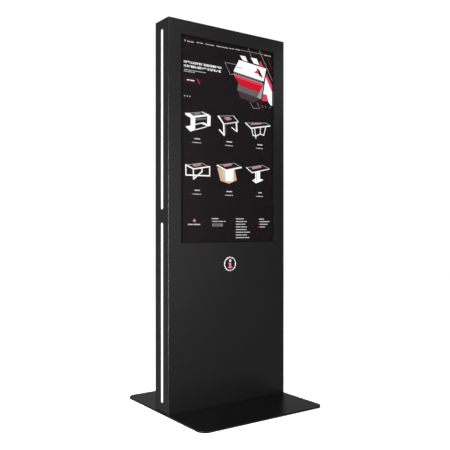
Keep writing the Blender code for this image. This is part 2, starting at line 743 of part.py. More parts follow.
def build_door(name, low, high, vent_height, vent_rows):
    door = shell_box(
        f"{name}_door", (-DOOR_HALF, BACK - DOOR_RETURN, low), (DOOR_HALF, BACK, high),
        [(0, -1, 0)], SHEET, BLACK_PAINT,
    )
    lock_height = (low + high) / 2
    lock_hole = cylinder(
        f"{name}_lock_hole", LOCK_BODY_DIAMETER + 2 * HOLE_CLEARANCE,
        (LOCK_X, BACK - SHEET - CUT_MARGIN, lock_height), (LOCK_X, BACK + CUT_MARGIN, lock_height),
        helper=True,
    )
    cut(door, vent_cutter(f"{name}_vents", vent_height, vent_rows), lock_hole)
    for end_name, height in (("lower", low + DOOR_SWING_MARGIN), ("upper", high - DOOR_SWING_MARGIN)):
        build_hinge(f"{name}_door_{end_name}_hinge", height)
    build_lock(f"{name}_lock", lock_height)


def build_hinge(name, height):
    """A lift-off hinge: a base with the pin, on the casing, and a knuckle, on the door."""
    leaf_back = BACK + FIT_GAP
    leaf_face = leaf_back + LEAF_THICKNESS
    bottom, top = height - HINGE_HEIGHT / 2, height + HINGE_HEIGHT / 2
    split_low, split_high = height - HINGE_SPLIT_GAP / 2, height + HINGE_SPLIT_GAP / 2
    pin_top = top - HINGE_CAP - RUN_CLEARANCE
    barrel, pin = BARREL_DIAMETER / 2, HINGE_PIN_DIAMETER / 2
    base = turned(
        f"{name}_base",
        [(0, pin_top - bottom), (0.6 * pin, pin_top - bottom), (pin, pin_top - bottom - 0.4 * pin),
         (pin, split_low - bottom), (barrel, split_low - bottom), (barrel, 0), (0, 0)],
        (HINGE_X, HINGE_Y, bottom), (0, 0, 1), ZINC,
    )
    base_leaf = box(
        f"{name}_base_leaf", (HINGE_X - FIXED_LEAF_REACH, leaf_back, bottom),
        (HINGE_X, leaf_face, split_low), helper=True,
    )
    join(base, base_leaf)
    knuckle = cylinder(
        f"{name}_knuckle", BARREL_DIAMETER,
        (HINGE_X, HINGE_Y, split_high), (HINGE_X, HINGE_Y, top), ZINC,
    )
    door_leaf = box(
        f"{name}_door_leaf", (HINGE_X, leaf_back, split_high),
        (HINGE_X + DOOR_LEAF_REACH, leaf_face, top), helper=True,
    )
    bore = cylinder(
        f"{name}_bore", HINGE_PIN_DIAMETER + 2 * RUN_CLEARANCE,
        (HINGE_X, HINGE_Y, split_low), (HINGE_X, HINGE_Y, top - HINGE_CAP), helper=True,
    )
    cut(join(knuckle, door_leaf), bore)


def build_lock(name, height):
    """A cam lock: a housing in the door, and a plug that turns a cam behind the casing's jamb.
    The cam hangs down, clear of the jamb, so that the door can open."""
    face = BACK + FIT_GAP + LOCK_FLANGE_THICKNESS
    end = CAM_FRONT + FIT_GAP
    length = face - end
    bore = PLUG_DIAMETER / 2 + RUN_CLEARANCE
    body, flange = LOCK_BODY_DIAMETER / 2, LOCK_FLANGE_DIAMETER / 2
    turned(
        f"{name}_housing",
        [(bore, length), (flange - LOCK_FLANGE_THICKNESS / 4, length),
         (flange, length - LOCK_FLANGE_THICKNESS / 4), (flange, length - LOCK_FLANGE_THICKNESS),
         (body, length - LOCK_FLANGE_THICKNESS), (body, 0), (bore, 0)],
        (LOCK_X, end, height), (0, 1, 0), CHROME,
    )
    plug = cylinder(
        f"{name}_plug", PLUG_DIAMETER,
        (LOCK_X, end, height), (LOCK_X, face + PLUG_PROUD, height), CHROME,
    )
    keyway = box(
        f"{name}_keyway",
        (LOCK_X - KEYWAY_WIDTH / 2, face + PLUG_PROUD - KEYWAY_DEPTH, height - KEYWAY_LENGTH / 2),
        (LOCK_X + KEYWAY_WIDTH / 2, face + PLUG_PROUD + CUT_MARGIN, height + KEYWAY_LENGTH / 2),
        helper=True,
    )
    cut(plug, keyway)
    reach = OPENING_HALF + CAM_OVERLAP - LOCK_X
    box(
        f"{name}_cam",
        (LOCK_X - CAM_WIDTH / 2, CAM_FRONT - CAM_THICKNESS, height - reach),
        (LOCK_X + CAM_WIDTH / 2, CAM_FRONT, height + CAM_WIDTH / 2),
        ZINC, round_axis=1, radius=0.45 * CAM_WIDTH, steps=5,
    )


def build_doors():
    upper_low, upper_high = DOOR_SPLIT_HEIGHT + DOOR_GAP / 2, HEADER_LOW - DOOR_GAP
    lower_low, lower_high = SILL_TOP + DOOR_GAP, DOOR_SPLIT_HEIGHT - DOOR_GAP / 2
    fan_height = upper_high - UPPER_VENT_DROP
    build_door("upper", upper_low, upper_high, fan_height, UPPER_VENT_ROWS)
    build_door("lower", lower_low, lower_high, lower_low + LOWER_VENT_RISE, LOWER_VENT_ROWS)
    build_fan(fan_height)


def build_fan(height):
    """A cooling fan behind the middle vents of the upper door."""
    back = BACK - SHEET - FIT_GAP
    front = back - FAN_DEPTH
    half = FAN_SIZE / 2
    frame = box(
        "fan_frame", (-half, front, height - half), (half, back, height + half),
        PLASTIC, round_axis=1, radius=0.005, steps=3,
    )
    bore = cylinder(
        "fan_bore", FAN_BORE, (0, front - CUT_MARGIN, height), (0, back + CUT_MARGIN, height),
        helper=True, sides=36,
    )
    plate = cylinder(
        "fan_plate", FAN_HUB_DIAMETER, (0, front, height), (0, front + FAN_PLATE_THICKNESS, height),
        helper=True,
    )
    cut(frame, bore)
    strut_low, strut_high = front + FIT_GAP, front + FAN_PLATE_THICKNESS - FIT_GAP
    reach = (FAN_SIZE + FAN_BORE) / 4       # into the middle of the frame's thinnest wall
    for name, x, z in (("across", reach, FAN_STRUT / 2), ("upright", FAN_STRUT / 2, reach)):
        strut = box(
            f"fan_strut_{name}", (-x, strut_low, height - z), (x, strut_high, height + z), helper=True,
        )
        join(frame, strut)
    join(frame, plate)
    build_fan_rotor(front + FAN_PLATE_THICKNESS + RUN_CLEARANCE, back - FAN_PLATE_THICKNESS, height)


def build_fan_rotor(front, back, height):
    """The hub with its blades. Each blade widens towards its tip, which follows the bore."""
    rotor = cylinder(
        "fan_rotor", FAN_HUB_DIAMETER, (0, front, height), (0, back, height), PLASTIC, sides=28,
    )
    tip = FAN_BORE / 2 - FAN_TIP_CLEARANCE
    root = 0.4 * FAN_HUB_DIAMETER
    middle = Vector((0, (front + back) / 2, height))
    pitch = math.radians(FAN_BLADE_PITCH)
    axis = Vector((0, 1, 0))
    room_along = (back - front - 2 * FAN_BLADE_THICKNESS) / math.sin(pitch)
    room_around = 0.8 * 2 * math.pi * root / FAN_BLADES / math.cos(pitch)
    root_chord = min(room_along, room_around)
    bm = bmesh.new()
    for blade in range(FAN_BLADES):
        turn = 2 * math.pi * blade / FAN_BLADES
        around = Vector((math.cos(turn), 0, math.sin(turn)))
        out = Vector((-math.sin(turn), 0, math.cos(turn)))
        along = around * math.cos(pitch) + axis * math.sin(pitch)
        across = axis * math.cos(pitch) - around * math.sin(pitch)
        for vert in bmesh.ops.create_cube(bm, size=1.0)["verts"]:
            share = vert.co.z + 0.5
            chord = vert.co.x * root_chord * (1.0 + BLADE_FLARE * share)
            reach = root + (tip - root) * share
            radius = math.sqrt(reach**2 - (chord * math.cos(pitch)) ** 2)
            vert.co = middle + along * chord + across * vert.co.y * FAN_BLADE_THICKNESS + out * radius
    join(rotor, link("fan_blades", mesh_from(bm, "fan_blades"), None, helper=True))


def build_sill():
    """The strip under the lower door, folded forwards on to the base, with the power inlet."""
    corners = [(BACK, SILL_TOP), (BACK, BODY_LOW), (BACK - SILL_FOOT, BODY_LOW)]
    half = OPENING_HALF - FIT_GAP
    sill = folded_sheet("rear_sill", corners, -half, 2 * half, BLACK_PAINT, along_x=True)
    width, height = INLET_BODY
    hole = box(
        "inlet_hole",
        (INLET_X - width / 2 - HOLE_CLEARANCE, BACK - SHEET - CUT_MARGIN,
         INLET_Z - height / 2 - HOLE_CLEARANCE),
        (INLET_X + width / 2 + HOLE_CLEARANCE, BACK + CUT_MARGIN,
         INLET_Z + height / 2 + HOLE_CLEARANCE),
        helper=True,
    )
    cut(sill, hole)
    build_inlet()


def inlet_box(name, x, size, front, back, material=None, helper=False, radius=0.0):
    """A box in the inlet, x from the inlet's middle, y from front to back."""
    width, height = size
    return box(
        name, (INLET_X + x - width / 2, front, INLET_Z - height / 2),
        (INLET_X + x + width / 2, back, INLET_Z + height / 2), material, helper,
        round_axis=1 if radius else None, radius=radius, steps=3,
    )


def build_inlet():
    flange_back = BACK + FIT_GAP
    face = flange_back + INLET_FLANGE_THICKNESS
    inlet = inlet_box("power_inlet", 0, INLET_FLANGE, flange_back, face, PLASTIC, radius=0.003)
    body = inlet_box("inlet_body", 0, INLET_BODY, face - INLET_DEPTH, flange_back + FIT_GAP, helper=True)
    socket = inlet_box(
        "inlet_socket", SOCKET_OFFSET, SOCKET_SIZE, face - SOCKET_DEPTH, face + CUT_MARGIN,
        helper=True, radius=0.003,
    )
    well = inlet_box(
        "switch_well", SWITCH_OFFSET, SWITCH_WELL, face - SWITCH_WELL_DEPTH, face + CUT_MARGIN,
        helper=True,
    )
    cut(join(inlet, body), socket, well)

    half, root = SWITCH_HEIGHT / 2, 0.8 * SWITCH_HEIGHT / 2
    profile = [
        (SWITCH_TIP, half), (SWITCH_WAIST, 0.0), (SWITCH_TIP, -half),
        (-SWITCH_ROOT, -root), (-SWITCH_ROOT, root),
    ]
    bm = bmesh.new()
    ends = [
        [bm.verts.new((x, out, up)) for out, up in profile]
        for x in (-SWITCH_WIDTH / 2, SWITCH_WIDTH / 2)
    ]
    bm.faces.new(ends[0])
    bm.faces.new(ends[1])
    for first in range(len(profile)):
        second = (first + 1) % len(profile)
        bm.faces.new((ends[0][first], ends[0][second], ends[1][second], ends[1][first]))
    switch = link("inlet_switch", mesh_from(bm, "inlet_switch"), PLASTIC)
    switch.location = (INLET_X + SWITCH_OFFSET, face - SWITCH_PIVOT_DEPTH, INLET_Z)
    switch.rotation_euler = (math.radians(-SWITCH_TILT), 0.0, 0.0)


def on_plate(name, size, left, low, material, round_axis, radius):
    """A block that is screwed to the back of the component plate."""
    width, depth, height = size
    return box(
        name, (left, SHELF, low), (left + width, SHELF + depth, low + height),
        material, round_axis=round_axis, radius=radius, steps=3,
    )


def build_computer():
    """The computer's cover, with the button that works through a hole in it."""
    width, depth, height = COMPUTER_SIZE
    face = SHELF + depth
    computer = shell_box(
        "mini_computer", (COMPUTER_LEFT, SHELF, COMPUTER_LOW),
        (COMPUTER_LEFT + width, face, COMPUTER_LOW + height),
        [(0, -1, 0)], COVER_WALL, GREY_STEEL, round_axis=1, radius=COVER_CORNER_RADIUS,
    )
    x = COMPUTER_LEFT + width - BUTTON_INSET
    z = COMPUTER_LOW + height - BUTTON_INSET
    hole = cylinder(
        "button_hole", BUTTON_DIAMETER + 2 * RUN_CLEARANCE, (x, face - COVER_WALL - CUT_MARGIN, z),
        (x, face + CUT_MARGIN, z), helper=True,
    )
    cut(computer, hole)
    radius, rim = BUTTON_DIAMETER / 2, BUTTON_DIAMETER / 2 + BUTTON_FLANGE
    top = BUTTON_PROUD + COVER_WALL + FIT_GAP + BUTTON_FLANGE
    turned(
        "computer_power_button",
        [(0, top), (radius - BUTTON_PROUD / 4, top), (radius, top - BUTTON_PROUD / 4),
         (radius, BUTTON_FLANGE), (rim, BUTTON_FLANGE), (rim, 0), (0, 0)],
        (x, face + BUTTON_PROUD - top, z), (0, 1, 0), CHROME,
    )


def build_power():
    on_plate("light_driver", DRIVER_SIZE, DRIVER_LEFT, DRIVER_LOW, ALUMINIUM, 0, 0.003)
    strip = on_plate("power_strip", STRIP_SIZE, STRIP_LEFT, STRIP_LOW, PLASTIC, 1, 0.006)
    width, depth, height = STRIP_SIZE
    face = SHELF + depth
    for outlet in range(OUTLET_COUNT):
        x = STRIP_LEFT + width * (outlet + 0.5) / OUTLET_COUNT
        z = STRIP_LOW + height / 2
        dish = cylinder(
            f"outlet_{outlet}", OUTLET_DIAMETER, (x, face - OUTLET_DEPTH, z), (x, face + CUT_MARGIN, z),
            helper=True,
        )
        cut(strip, dish)


def build_cables():
    strip_top = STRIP_LOW + STRIP_SIZE[2]
    strip_right = STRIP_LEFT + STRIP_SIZE[0]
    strip_middle = STRIP_LOW + STRIP_SIZE[2] / 2
    inlet_back = BACK + FIT_GAP + INLET_FLANGE_THICKNESS - INLET_DEPTH
    cable("mains_cable", [
        (INLET_X, inlet_back - FIT_GAP, INLET_Z),
        (INLET_X, inlet_back - 0.009, INLET_Z),
        (INLET_X, inlet_back - 0.018, INLET_Z + 0.001),
        (INLET_X, inlet_back - 0.027, INLET_Z + 0.008),
        (INLET_X, CABLE_LANE + 0.003, INLET_Z + 0.024),
        (INLET_X, CABLE_LANE, INLET_Z + 0.050),
        (INLET_X - 0.004, CABLE_LANE, strip_middle - 0.055),
        (INLET_X - 0.030, CABLE_LANE, strip_middle - 0.010),
        (strip_right + 0.040, CABLE_LANE, strip_middle),
        (strip_right + FIT_GAP, CABLE_LANE, strip_middle),
    ])
    board_low = SCREEN_HEIGHT - BOARD_SIZE[2] / 2
    board_lane = RAIL_FRONT + BOARD_SIZE[1] / 2
    computer_top = COMPUTER_LOW + COMPUTER_SIZE[2]
    for name, x, x_top, start in (
        ("display_power_cable", -0.010, 0.060, strip_top),
        ("video_cable", COMPUTER_LEFT + COMPUTER_SIZE[0] / 2, -0.070, computer_top),
    ):
        cable(name, [
            (x, CABLE_LANE, start + FIT_GAP),
            (x, CABLE_LANE, start + 0.030),
            (x, CABLE_LANE, PLATE_HIGH + 0.020),
            ((x + x_top) / 2, CABLE_LANE, (PLATE_HIGH + board_low) / 2),
            (x_top, CABLE_LANE, board_low - 0.100),
            (x_top, board_lane, board_low - 0.035),
            (x_top, board_lane, board_low - FIT_GAP),
        ])


build_base()
build_uprights()
build_rails()
build_casing()
build_side_lights()
build_screen()
build_emblem()
build_doors()
build_sill()
build_computer()
build_power()
build_cables()
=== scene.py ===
"""Looks of the touchscreen kiosk: the finishes of its sheet metal, glass and electronics, the
lit picture on its screen, and the small fittings that its frame leaves out.

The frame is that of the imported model: +X to the right of a person facing the screen, +Y towards
the rear doors, +Z up, and the floor at z = 0. The added pieces are worked out in millimetres.
"""

import math
import random

import bmesh
import bpy
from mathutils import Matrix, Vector


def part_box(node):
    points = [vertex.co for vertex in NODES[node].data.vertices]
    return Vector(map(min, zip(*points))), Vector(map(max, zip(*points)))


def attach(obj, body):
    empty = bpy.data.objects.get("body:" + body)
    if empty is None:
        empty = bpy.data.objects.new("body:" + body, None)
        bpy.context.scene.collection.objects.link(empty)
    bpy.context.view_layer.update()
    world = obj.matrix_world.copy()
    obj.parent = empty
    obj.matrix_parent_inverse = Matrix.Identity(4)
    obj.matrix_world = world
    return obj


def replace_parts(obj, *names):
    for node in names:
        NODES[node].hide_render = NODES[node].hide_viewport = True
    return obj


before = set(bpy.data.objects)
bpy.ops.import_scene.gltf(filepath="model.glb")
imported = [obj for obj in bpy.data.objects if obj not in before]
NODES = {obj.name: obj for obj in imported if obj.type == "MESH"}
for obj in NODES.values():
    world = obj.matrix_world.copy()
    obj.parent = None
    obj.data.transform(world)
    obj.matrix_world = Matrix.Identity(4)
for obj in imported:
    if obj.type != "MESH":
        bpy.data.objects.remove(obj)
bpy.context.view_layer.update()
MM = 0.001
X_AXIS, Y_AXIS, Z_AXIS = Vector((1, 0, 0)), Vector((0, 1, 0)), Vector((0, 0, 1))
ROOT, UPPER, LOWER = "kiosk", "upper_rear_door", "lower_rear_door"
FULL_TURN = 2 * math.pi


# ------------------------------------------------------------------ shader graphs

class Graph:
    """Short calls for the nodes and links of one node tree."""

    def __init__(self, tree):
        self.tree = tree

    def node(self, kind, **settings):
        made = self.tree.nodes.new(f"ShaderNode{kind}")
        for key, value in settings.items():
            setattr(made, key, value)
        return made

    def feed(self, target, value):
        """Links a socket to target, or sets a plain value on it."""
        if isinstance(value, bpy.types.NodeSocket):
            self.tree.links.new(value, target)
        else:
            target.default_value = value

    def filled(self, kind, *values, **settings):
        """A node whose first inputs get these values."""
        made = self.node(kind, **settings)
        for socket, value in zip(made.inputs, values):
            self.feed(socket, value)
        return made

    def math(self, operation, first, second=0.0, clamp=False):
        return self.filled("Math", first, second, operation=operation, use_clamp=clamp).outputs[0]

    def times(self, first, second, clamp=False):
        return self.math("MULTIPLY", first, second, clamp)

    def noise(self, vector, scale, detail=2.0, roughness=0.5):
        made = self.node("TexNoise")
        given = {"Vector": vector, "Scale": scale, "Detail": detail, "Roughness": roughness}
        for socket, value in given.items():
            self.feed(made.inputs[socket], value)
        return made.outputs["Fac"]

    def span(self, value, low, high, to_low=0.0, to_high=1.0):
        return self.filled("MapRange", value, low, high, to_low, to_high, clamp=True).outputs["Result"]

    def mix(self, factor, first, second, blend="MIX"):
        made = self.node("Mix", data_type="RGBA", blend_type=blend)
        for index, given in zip((0, 6, 7), (factor, first, second)):
            self.feed(made.inputs[index], given)
        return made.outputs[2]

    def stretch(self, vector, scale):
        made = self.node("Mapping")
        self.feed(made.inputs["Vector"], vector)
        made.inputs["Scale"].default_value = scale
        return made.outputs["Vector"]

    def parts(self, vector):
        """The X, Y and Z of a vector."""
        return self.filled("SeparateXYZ", vector).outputs

    def grey(self, value):
        """A colour with this value in all three of its parts."""
        return self.filled("CombineXYZ", value, value, value).outputs[0]

    def place(self):
        """Where a point is on its piece, in metres."""
        return self.node("TexCoord").outputs["Object"]


def shader_group(name, inputs, output, build):
    """A node group with number inputs {name: default}, and one number that build makes of them."""
    tree = bpy.data.node_groups.new(name, "ShaderNodeTree")
    for socket, value in inputs.items():
        made = tree.interface.new_socket(socket, in_out="INPUT", socket_type="NodeSocketFloat")
        made.default_value = value
    tree.interface.new_socket(output, in_out="OUTPUT", socket_type="NodeSocketFloat")
    graph = Graph(tree)
    given, out = tree.nodes.new("NodeGroupInput"), tree.nodes.new("NodeGroupOutput")
    graph.feed(out.inputs[output], build(graph, given.outputs))
    return tree


def powder_height(graph, given):
    """Orange peel and fine grain of a baked powder coat."""
    place = graph.place()
    peel = graph.noise(place, given["Peel Size"], 1.0)
    grain = graph.noise(place, given["Grain Size"], 2.0)
    return graph.math("ADD", peel, graph.times(grain, given["Grain Share"]))


def handled_roughness(graph, given):
    """Roughness that varies softly where a surface has been wiped and handled."""
    place = graph.place()
    patches = graph.noise(place, given["Patch Size"], 4.0, 0.6)
    wipes = graph.noise(graph.stretch(place, (9.0, 9.0, 2.0)), given["Patch Size"], 3.0)
    mask = graph.times(graph.math("ADD", patches, wipes), 0.5)
    swing = graph.times(graph.times(graph.math("SUBTRACT", mask, 0.5), given["Change"]), 2.0)
    return graph.math("ADD", given["Roughness"], swing, True)


def worn_edges(graph, given):
    """A mask that is 1 on worn outer edges, broken up by noise."""
    rounded = graph.node("Bevel", samples=4)
    graph.feed(rounded.inputs["Radius"], given["Width"])
    true_normal = graph.node("NewGeometry").outputs["Normal"]
    dot = graph.filled("VectorMath", rounded.outputs["Normal"], true_normal, operation="DOT_PRODUCT")
    bare = graph.span(dot.outputs["Value"], 0.995, 0.90)
    broken = graph.span(graph.noise(graph.place(), given["Breakup"], 4.0), 0.35, 0.65)
    return graph.times(graph.times(bare, broken), given["Amount"], True)


def settled_dust(graph, given):
    """A mask for the thin dust that settles on faces that look up."""
    up = graph.span(graph.parts(graph.node("NewGeometry").outputs["Normal"])["Z"], 0.6, 1.0)
    clumps = graph.noise(graph.place(), given["Size"], 6.0, 0.7)
    clumps = graph.span(clumps, 0.35, 0.8, 0.3, 1.0)
    return graph.times(graph.times(up, clumps), given["Amount"], True)


def drawn_height(graph, given):
    """Height of the fine lines along Z of drawn and brushed metal."""
    place = graph.parts(graph.place())
    sizes = (given["Across"], given["Across"], given["Along"])
    scaled = graph.filled("CombineXYZ", *[graph.times(part, size) for part, size in zip(place, sizes)])
    return graph.noise(scaled.outputs[0], 1.0, 3.0)


def backlight_level(graph, given):
    """Brightness of a lit screen: fine rows and columns of dots, and a soft unevenness."""
    place, turns = graph.parts(graph.place()), graph.times(given["Dots"], 6.283)
    waves = [graph.math("SINE", graph.times(place[axis], turns)) for axis in ("X", "Z")]
    dots = graph.times(graph.times(*waves), given["Depth"])
    cloud = graph.math("SUBTRACT", graph.noise(graph.place(), 3.0, 1.0), 0.5)
    cloud = graph.times(cloud, given["Unevenness"])
    return graph.math("ADD", graph.math("ADD", dots, cloud), 1.0)


POWDER = shader_group(
    "powder_texture", {"Peel Size": 420.0, "Grain Size": 2600.0, "Grain Share": 0.35}, "Height",
    powder_height)
HANDLING = shader_group(
    "handling_marks", {"Roughness": 0.4, "Change": 0.06, "Patch Size": 5.0}, "Roughness", handled_roughness)
EDGES = shader_group("edge_wear", {"Width": 0.0008, "Breakup": 60.0, "Amount": 0.6}, "Mask", worn_edges)
DUST = shader_group("dust", {"Amount": 0.3, "Size": 35.0}, "Mask", settled_dust)
DRAWN = shader_group("drawn_lines", {"Along": 12.0, "Across": 1800.0}, "Height", drawn_height)
BACKLIGHT = shader_group(
    "backlight", {"Dots": 1900.0, "Depth": 0.10, "Unevenness": 0.06}, "Level", backlight_level)


# ------------------------------------------------------------------ finishes

class Finish(Graph):
    """One material: its Principled shader, and calls that add an effect to it."""

    def __init__(self, name, colour, roughness, slot, **sockets):
        self.material = bpy.data.materials.new(name)
        self.material.use_nodes = True
        super().__init__(self.material.node_tree)
        self.slot = slot
        self.shader = self.tree.nodes["Principled BSDF"]
        self.colour = (*colour, 1.0)
        self.shader.inputs["Base Color"].default_value = self.colour
        self.shader.inputs["Roughness"].default_value = roughness
        self.roughness = roughness
        for socket, value in sockets.items():
            self.shader.inputs[socket.replace("_", " ")].default_value = value

    def group(self, tree, **inputs):
        made = self.node("Group", node_tree=tree)
        for socket, value in inputs.items():
            self.feed(made.inputs[socket.replace("_", " ")], value)
        return made

    def paint(self, colour):
        """Feeds a changed colour on to the shader."""
        self.colour = colour
        self.feed(self.shader.inputs["Base Color"], colour)

    def vary(self, low, high, scale=6.0, detail=4.0):
        """Soft tone changes between two shares of the colour."""
        tone = self.span(self.noise(self.place(), scale, detail, 0.6), 0.25, 0.75, low, high)
        self.paint(self.mix(1.0, self.colour, self.grey(tone), "MULTIPLY"))

    def handled(self, change=0.06, size=5.0):
        made = self.group(HANDLING, Roughness=self.roughness, Change=change, Patch_Size=size)
        self.feed(self.shader.inputs["Roughness"], made.outputs["Roughness"])

    def bump(self, height, distance, strength=1.0):
        made = self.node("Bump")
        self.feed(made.inputs["Height"], height)
        made.inputs["Strength"].default_value = strength
        made.inputs["Distance"].default_value = distance
        self.feed(self.shader.inputs["Normal"], made.outputs["Normal"])

    def powder(self, distance=0.00004, **inputs):
        self.bump(self.group(POWDER, **inputs).outputs["Height"], distance)

    def worn(self, bare, **inputs):
        mask = self.group(EDGES, **inputs).outputs["Mask"]
        self.paint(self.mix(mask, self.colour, (*bare, 1.0)))

    def dusty(self, tint=(0.22, 0.215, 0.20), **inputs):
        mask = self.group(DUST, **inputs).outputs["Mask"]
        self.paint(self.mix(mask, self.colour, (*tint, 1.0)))

    def drawn(self, distance=0.00002, **inputs):
        self.bump(self.group(DRAWN, **inputs).outputs["Height"], distance)


def powder_black():
    finish = Finish("black_powder_coat", (0.0062, 0.0062, 0.0064), 0.31, "black_powder_coat")
    finish.vary(0.9, 1.12, 3.0)
    finish.dusty(Amount=0.030, Size=60.0)
    finish.handled(0.035)
    finish.powder(0.000025)
    return finish


def powder_base_painted_shade():
    """The same coat on the flat plate, which is walked past and shows a little dust. Its colour is a darker
    copy of the casing's coat: painted shade.
    """
    finish = Finish("base_powder_coat_painted_shade", (0.0018, 0.0018, 0.0020), 0.29, "black_powder_coat")
    finish.vary(0.9, 1.15, 4.0)
    finish.dusty(Amount=0.006, Size=45.0)
    finish.handled(0.05, 7.0)
    finish.powder(0.00002)
    return finish


def zinc():
    finish = Finish("zinc_plated_steel", (0.56, 0.57, 0.58), 0.34, "zinc_plated_steel", Metallic=1.0)
    finish.vary(0.82, 1.08, 45.0, 6.0)
    finish.worn((0.72, 0.72, 0.70), Width=0.0006, Amount=0.5)
    finish.handled(0.12, 30.0)
    finish.drawn(0.000012, Along=25.0, Across=900.0)
    return finish


def anodised():
    finish = Finish("anodised_aluminium", (0.70, 0.71, 0.72), 0.36, "aluminium", Metallic=1.0)
    finish.vary(0.92, 1.04, 30.0)
    finish.handled(0.06, 20.0)
    finish.drawn(0.00001)
    return finish


def grey_cover():
    finish = Finish("grey_steel_cover", (0.30, 0.31, 0.32), 0.42, "grey_steel_cover", Metallic=0.75)
    finish.vary(0.86, 1.06, 60.0, 6.0)
    finish.worn((0.55, 0.55, 0.55), Width=0.0006, Amount=0.5)
    finish.handled(0.10, 18.0)
    finish.powder(0.00002, Peel_Size=900.0)
    return finish


def chrome():
    finish = Finish("bright_chrome", (0.80, 0.80, 0.81), 0.09, "bright_chrome", Metallic=1.0)
    finish.vary(0.93, 1.02, 200.0)
    finish.handled(0.06, 90.0)
    return finish


def rubber():
    finish = Finish("rubber_pads", (0.018, 0.018, 0.018), 0.8, "rubber_pads")
    finish.vary(0.8, 1.3, 80.0, 6.0)
    finish.powder(0.00006, Peel_Size=700.0)
    return finish


def foam():
    finish = Finish("gasket_foam", (0.013, 0.013, 0.013), 0.95, "gasket_foam")
    finish.vary(0.7, 1.4, 900.0)
    finish.powder(0.00015, Peel_Size=1500.0, Grain_Share=0.8)
    return finish


def moulded(name="black_plastic", colour=(0.017, 0.017, 0.018), slot="black_plastic", roughness=0.5):
    """Spark-eroded texture of a moulded housing."""
    finish = Finish(name, colour, roughness, slot)
    finish.vary(0.88, 1.12, 50.0, 5.0)
    finish.handled(0.06, 20.0)
    finish.powder(0.00003, Peel_Size=1600.0, Grain_Size=5000.0)
    return finish


def cable_jacket():
    finish = Finish("cable_jacket", (0.016, 0.016, 0.016), 0.55, "cable_jacket")
    finish.vary(0.85, 1.2, 40.0)
    finish.handled(0.08, 25.0)
    finish.powder(0.00002, Peel_Size=2000.0)
    return finish


def acrylic(name, colour, slot, roughness=0.08):
    finish = Finish(name, colour, roughness, slot)
    finish.vary(0.94, 1.04, 90.0)
    finish.handled(0.05, 60.0)
    return finish


def touch_glass():
    """Tinted cover glass with the faint smears of many fingers."""
    finish = Finish("touch_glass", (0.004, 0.004, 0.0045), 0.09, "touch_glass", IOR=1.5, Alpha=0.22)
    finish.shader.inputs["Specular IOR Level"].default_value = 0.10
    finish.handled(0.07, 9.0)
    return finish


def lit(name, colour, strength, slot="screen_face", face=(0.012, 0.011, 0.012), **inputs):
    """A part of the screen's picture, or a lamp. It glows in its own colour."""
    finish = Finish(name, face, 0.4, slot)
    finish.shader.inputs["Specular IOR Level"].default_value = 0.25
    level = finish.group(BACKLIGHT, **inputs).outputs["Level"]
    glow = finish.mix(1.0, (*colour, 1.0), finish.grey(level), "MULTIPLY")
    finish.feed(finish.shader.inputs["Emission Color"], glow)
    finish.shader.inputs["Emission Strength"].default_value = strength
    return finish


def opal():
    """Light from a diffuser, which is weaker near the long edges of its slot."""
    face = (0.10, 0.10, 0.10)
    finish = lit("opal_diffuser", (1.0, 1.0, 1.0), 1.05, "opal_diffuser", face, Dots=60.0, Depth=0.01)
    aside = finish.math("ABSOLUTE", finish.parts(finish.place())["Y"])
    level = finish.span(aside, 10.0 * MM, 6.0 * MM, 0.03, 1.0)
    glow = finish.shader.inputs["Emission Color"]
    even = glow.links[0].from_socket
    finish.feed(glow, finish.mix(1.0, even, finish.grey(level), "MULTIPLY"))
    return finish


def striped_wire():
    """Green insulation with yellow stripes along it."""
    finish = Finish("earth_wire", (0.03, 0.22, 0.05), 0.5, "cable_jacket")
    wave = finish.node("TexWave", wave_type="BANDS", bands_direction="DIAGONAL")
    finish.feed(wave.inputs["Vector"], finish.place())
    wave.inputs["Scale"].default_value = 60.0
    mask = finish.span(wave.outputs["Fac"], 0.55, 0.62)
    finish.paint(finish.mix(mask, finish.colour, (0.62, 0.55, 0.04, 1.0)))
    finish.handled(0.06, 60.0)
    return finish


BLACK, BASE_BLACK_PAINTED_SHADE, ZINC, ANODISED = powder_black(), powder_base_painted_shade(), zinc(), anodised()
GREY, CHROME, RUBBER, FOAM = grey_cover(), chrome(), rubber(), foam()
PLASTIC, JACKET, GLASS = moulded(), cable_jacket(), touch_glass()
SWITCH = moulded("switch_plastic", (0.020, 0.020, 0.021), "switch_plastic", 0.32)
WHITE_ACRYLIC = acrylic("white_acrylic", (0.62, 0.62, 0.62), "white_acrylic", 0.5)
DARK_ACRYLIC = acrylic("dark_acrylic", (0.010, 0.008, 0.009), "dark_acrylic")
OPAL = opal()
SCREEN_GLOW = 1.28          # picture's brightness, which the tinted glass then lowers
BRIGHT_GLOW = 1.65          # of its whites and pale greys
SCREEN_BLACK = lit("screen_black", (0.0048, 0.0016, 0.0024), SCREEN_GLOW)


# ------------------------------------------------------------------ dressing the frame

def soften(obj, width, angle=35.0, segments=2):
    """Small rounded edges with clean shading. The mesh itself isn't touched."""
    for polygon in obj.data.polygons:
        polygon.use_smooth = True
    weld = obj.modifiers.new("weld", "WELD")
    weld.merge_threshold = 0.00001
    if width:
        bevel = obj.modifiers.new("edges", "BEVEL")
        bevel.width = width
        bevel.segments = segments
        bevel.limit_method = "ANGLE"
        bevel.angle_limit = math.radians(angle)
        bevel.use_clamp_overlap = True
        bevel.harden_normals = True
    normals = obj.modifiers.new("normals", "WEIGHTED_NORMAL")
    normals.weight = 80
    normals.keep_sharp = True


def dress(finish, width, *names):
    """Gives CAD nodes their finish. A name that ends in * stands for all that start so."""
    for name in names:
        stem = name.rstrip("*")
        for node, obj in NODES.items():
            if node == name or (name.endswith("*") and node.startswith(stem)):
                obj.data.materials.clear()
                obj.data.materials.append(finish.material)
                soften(obj, width * MM)


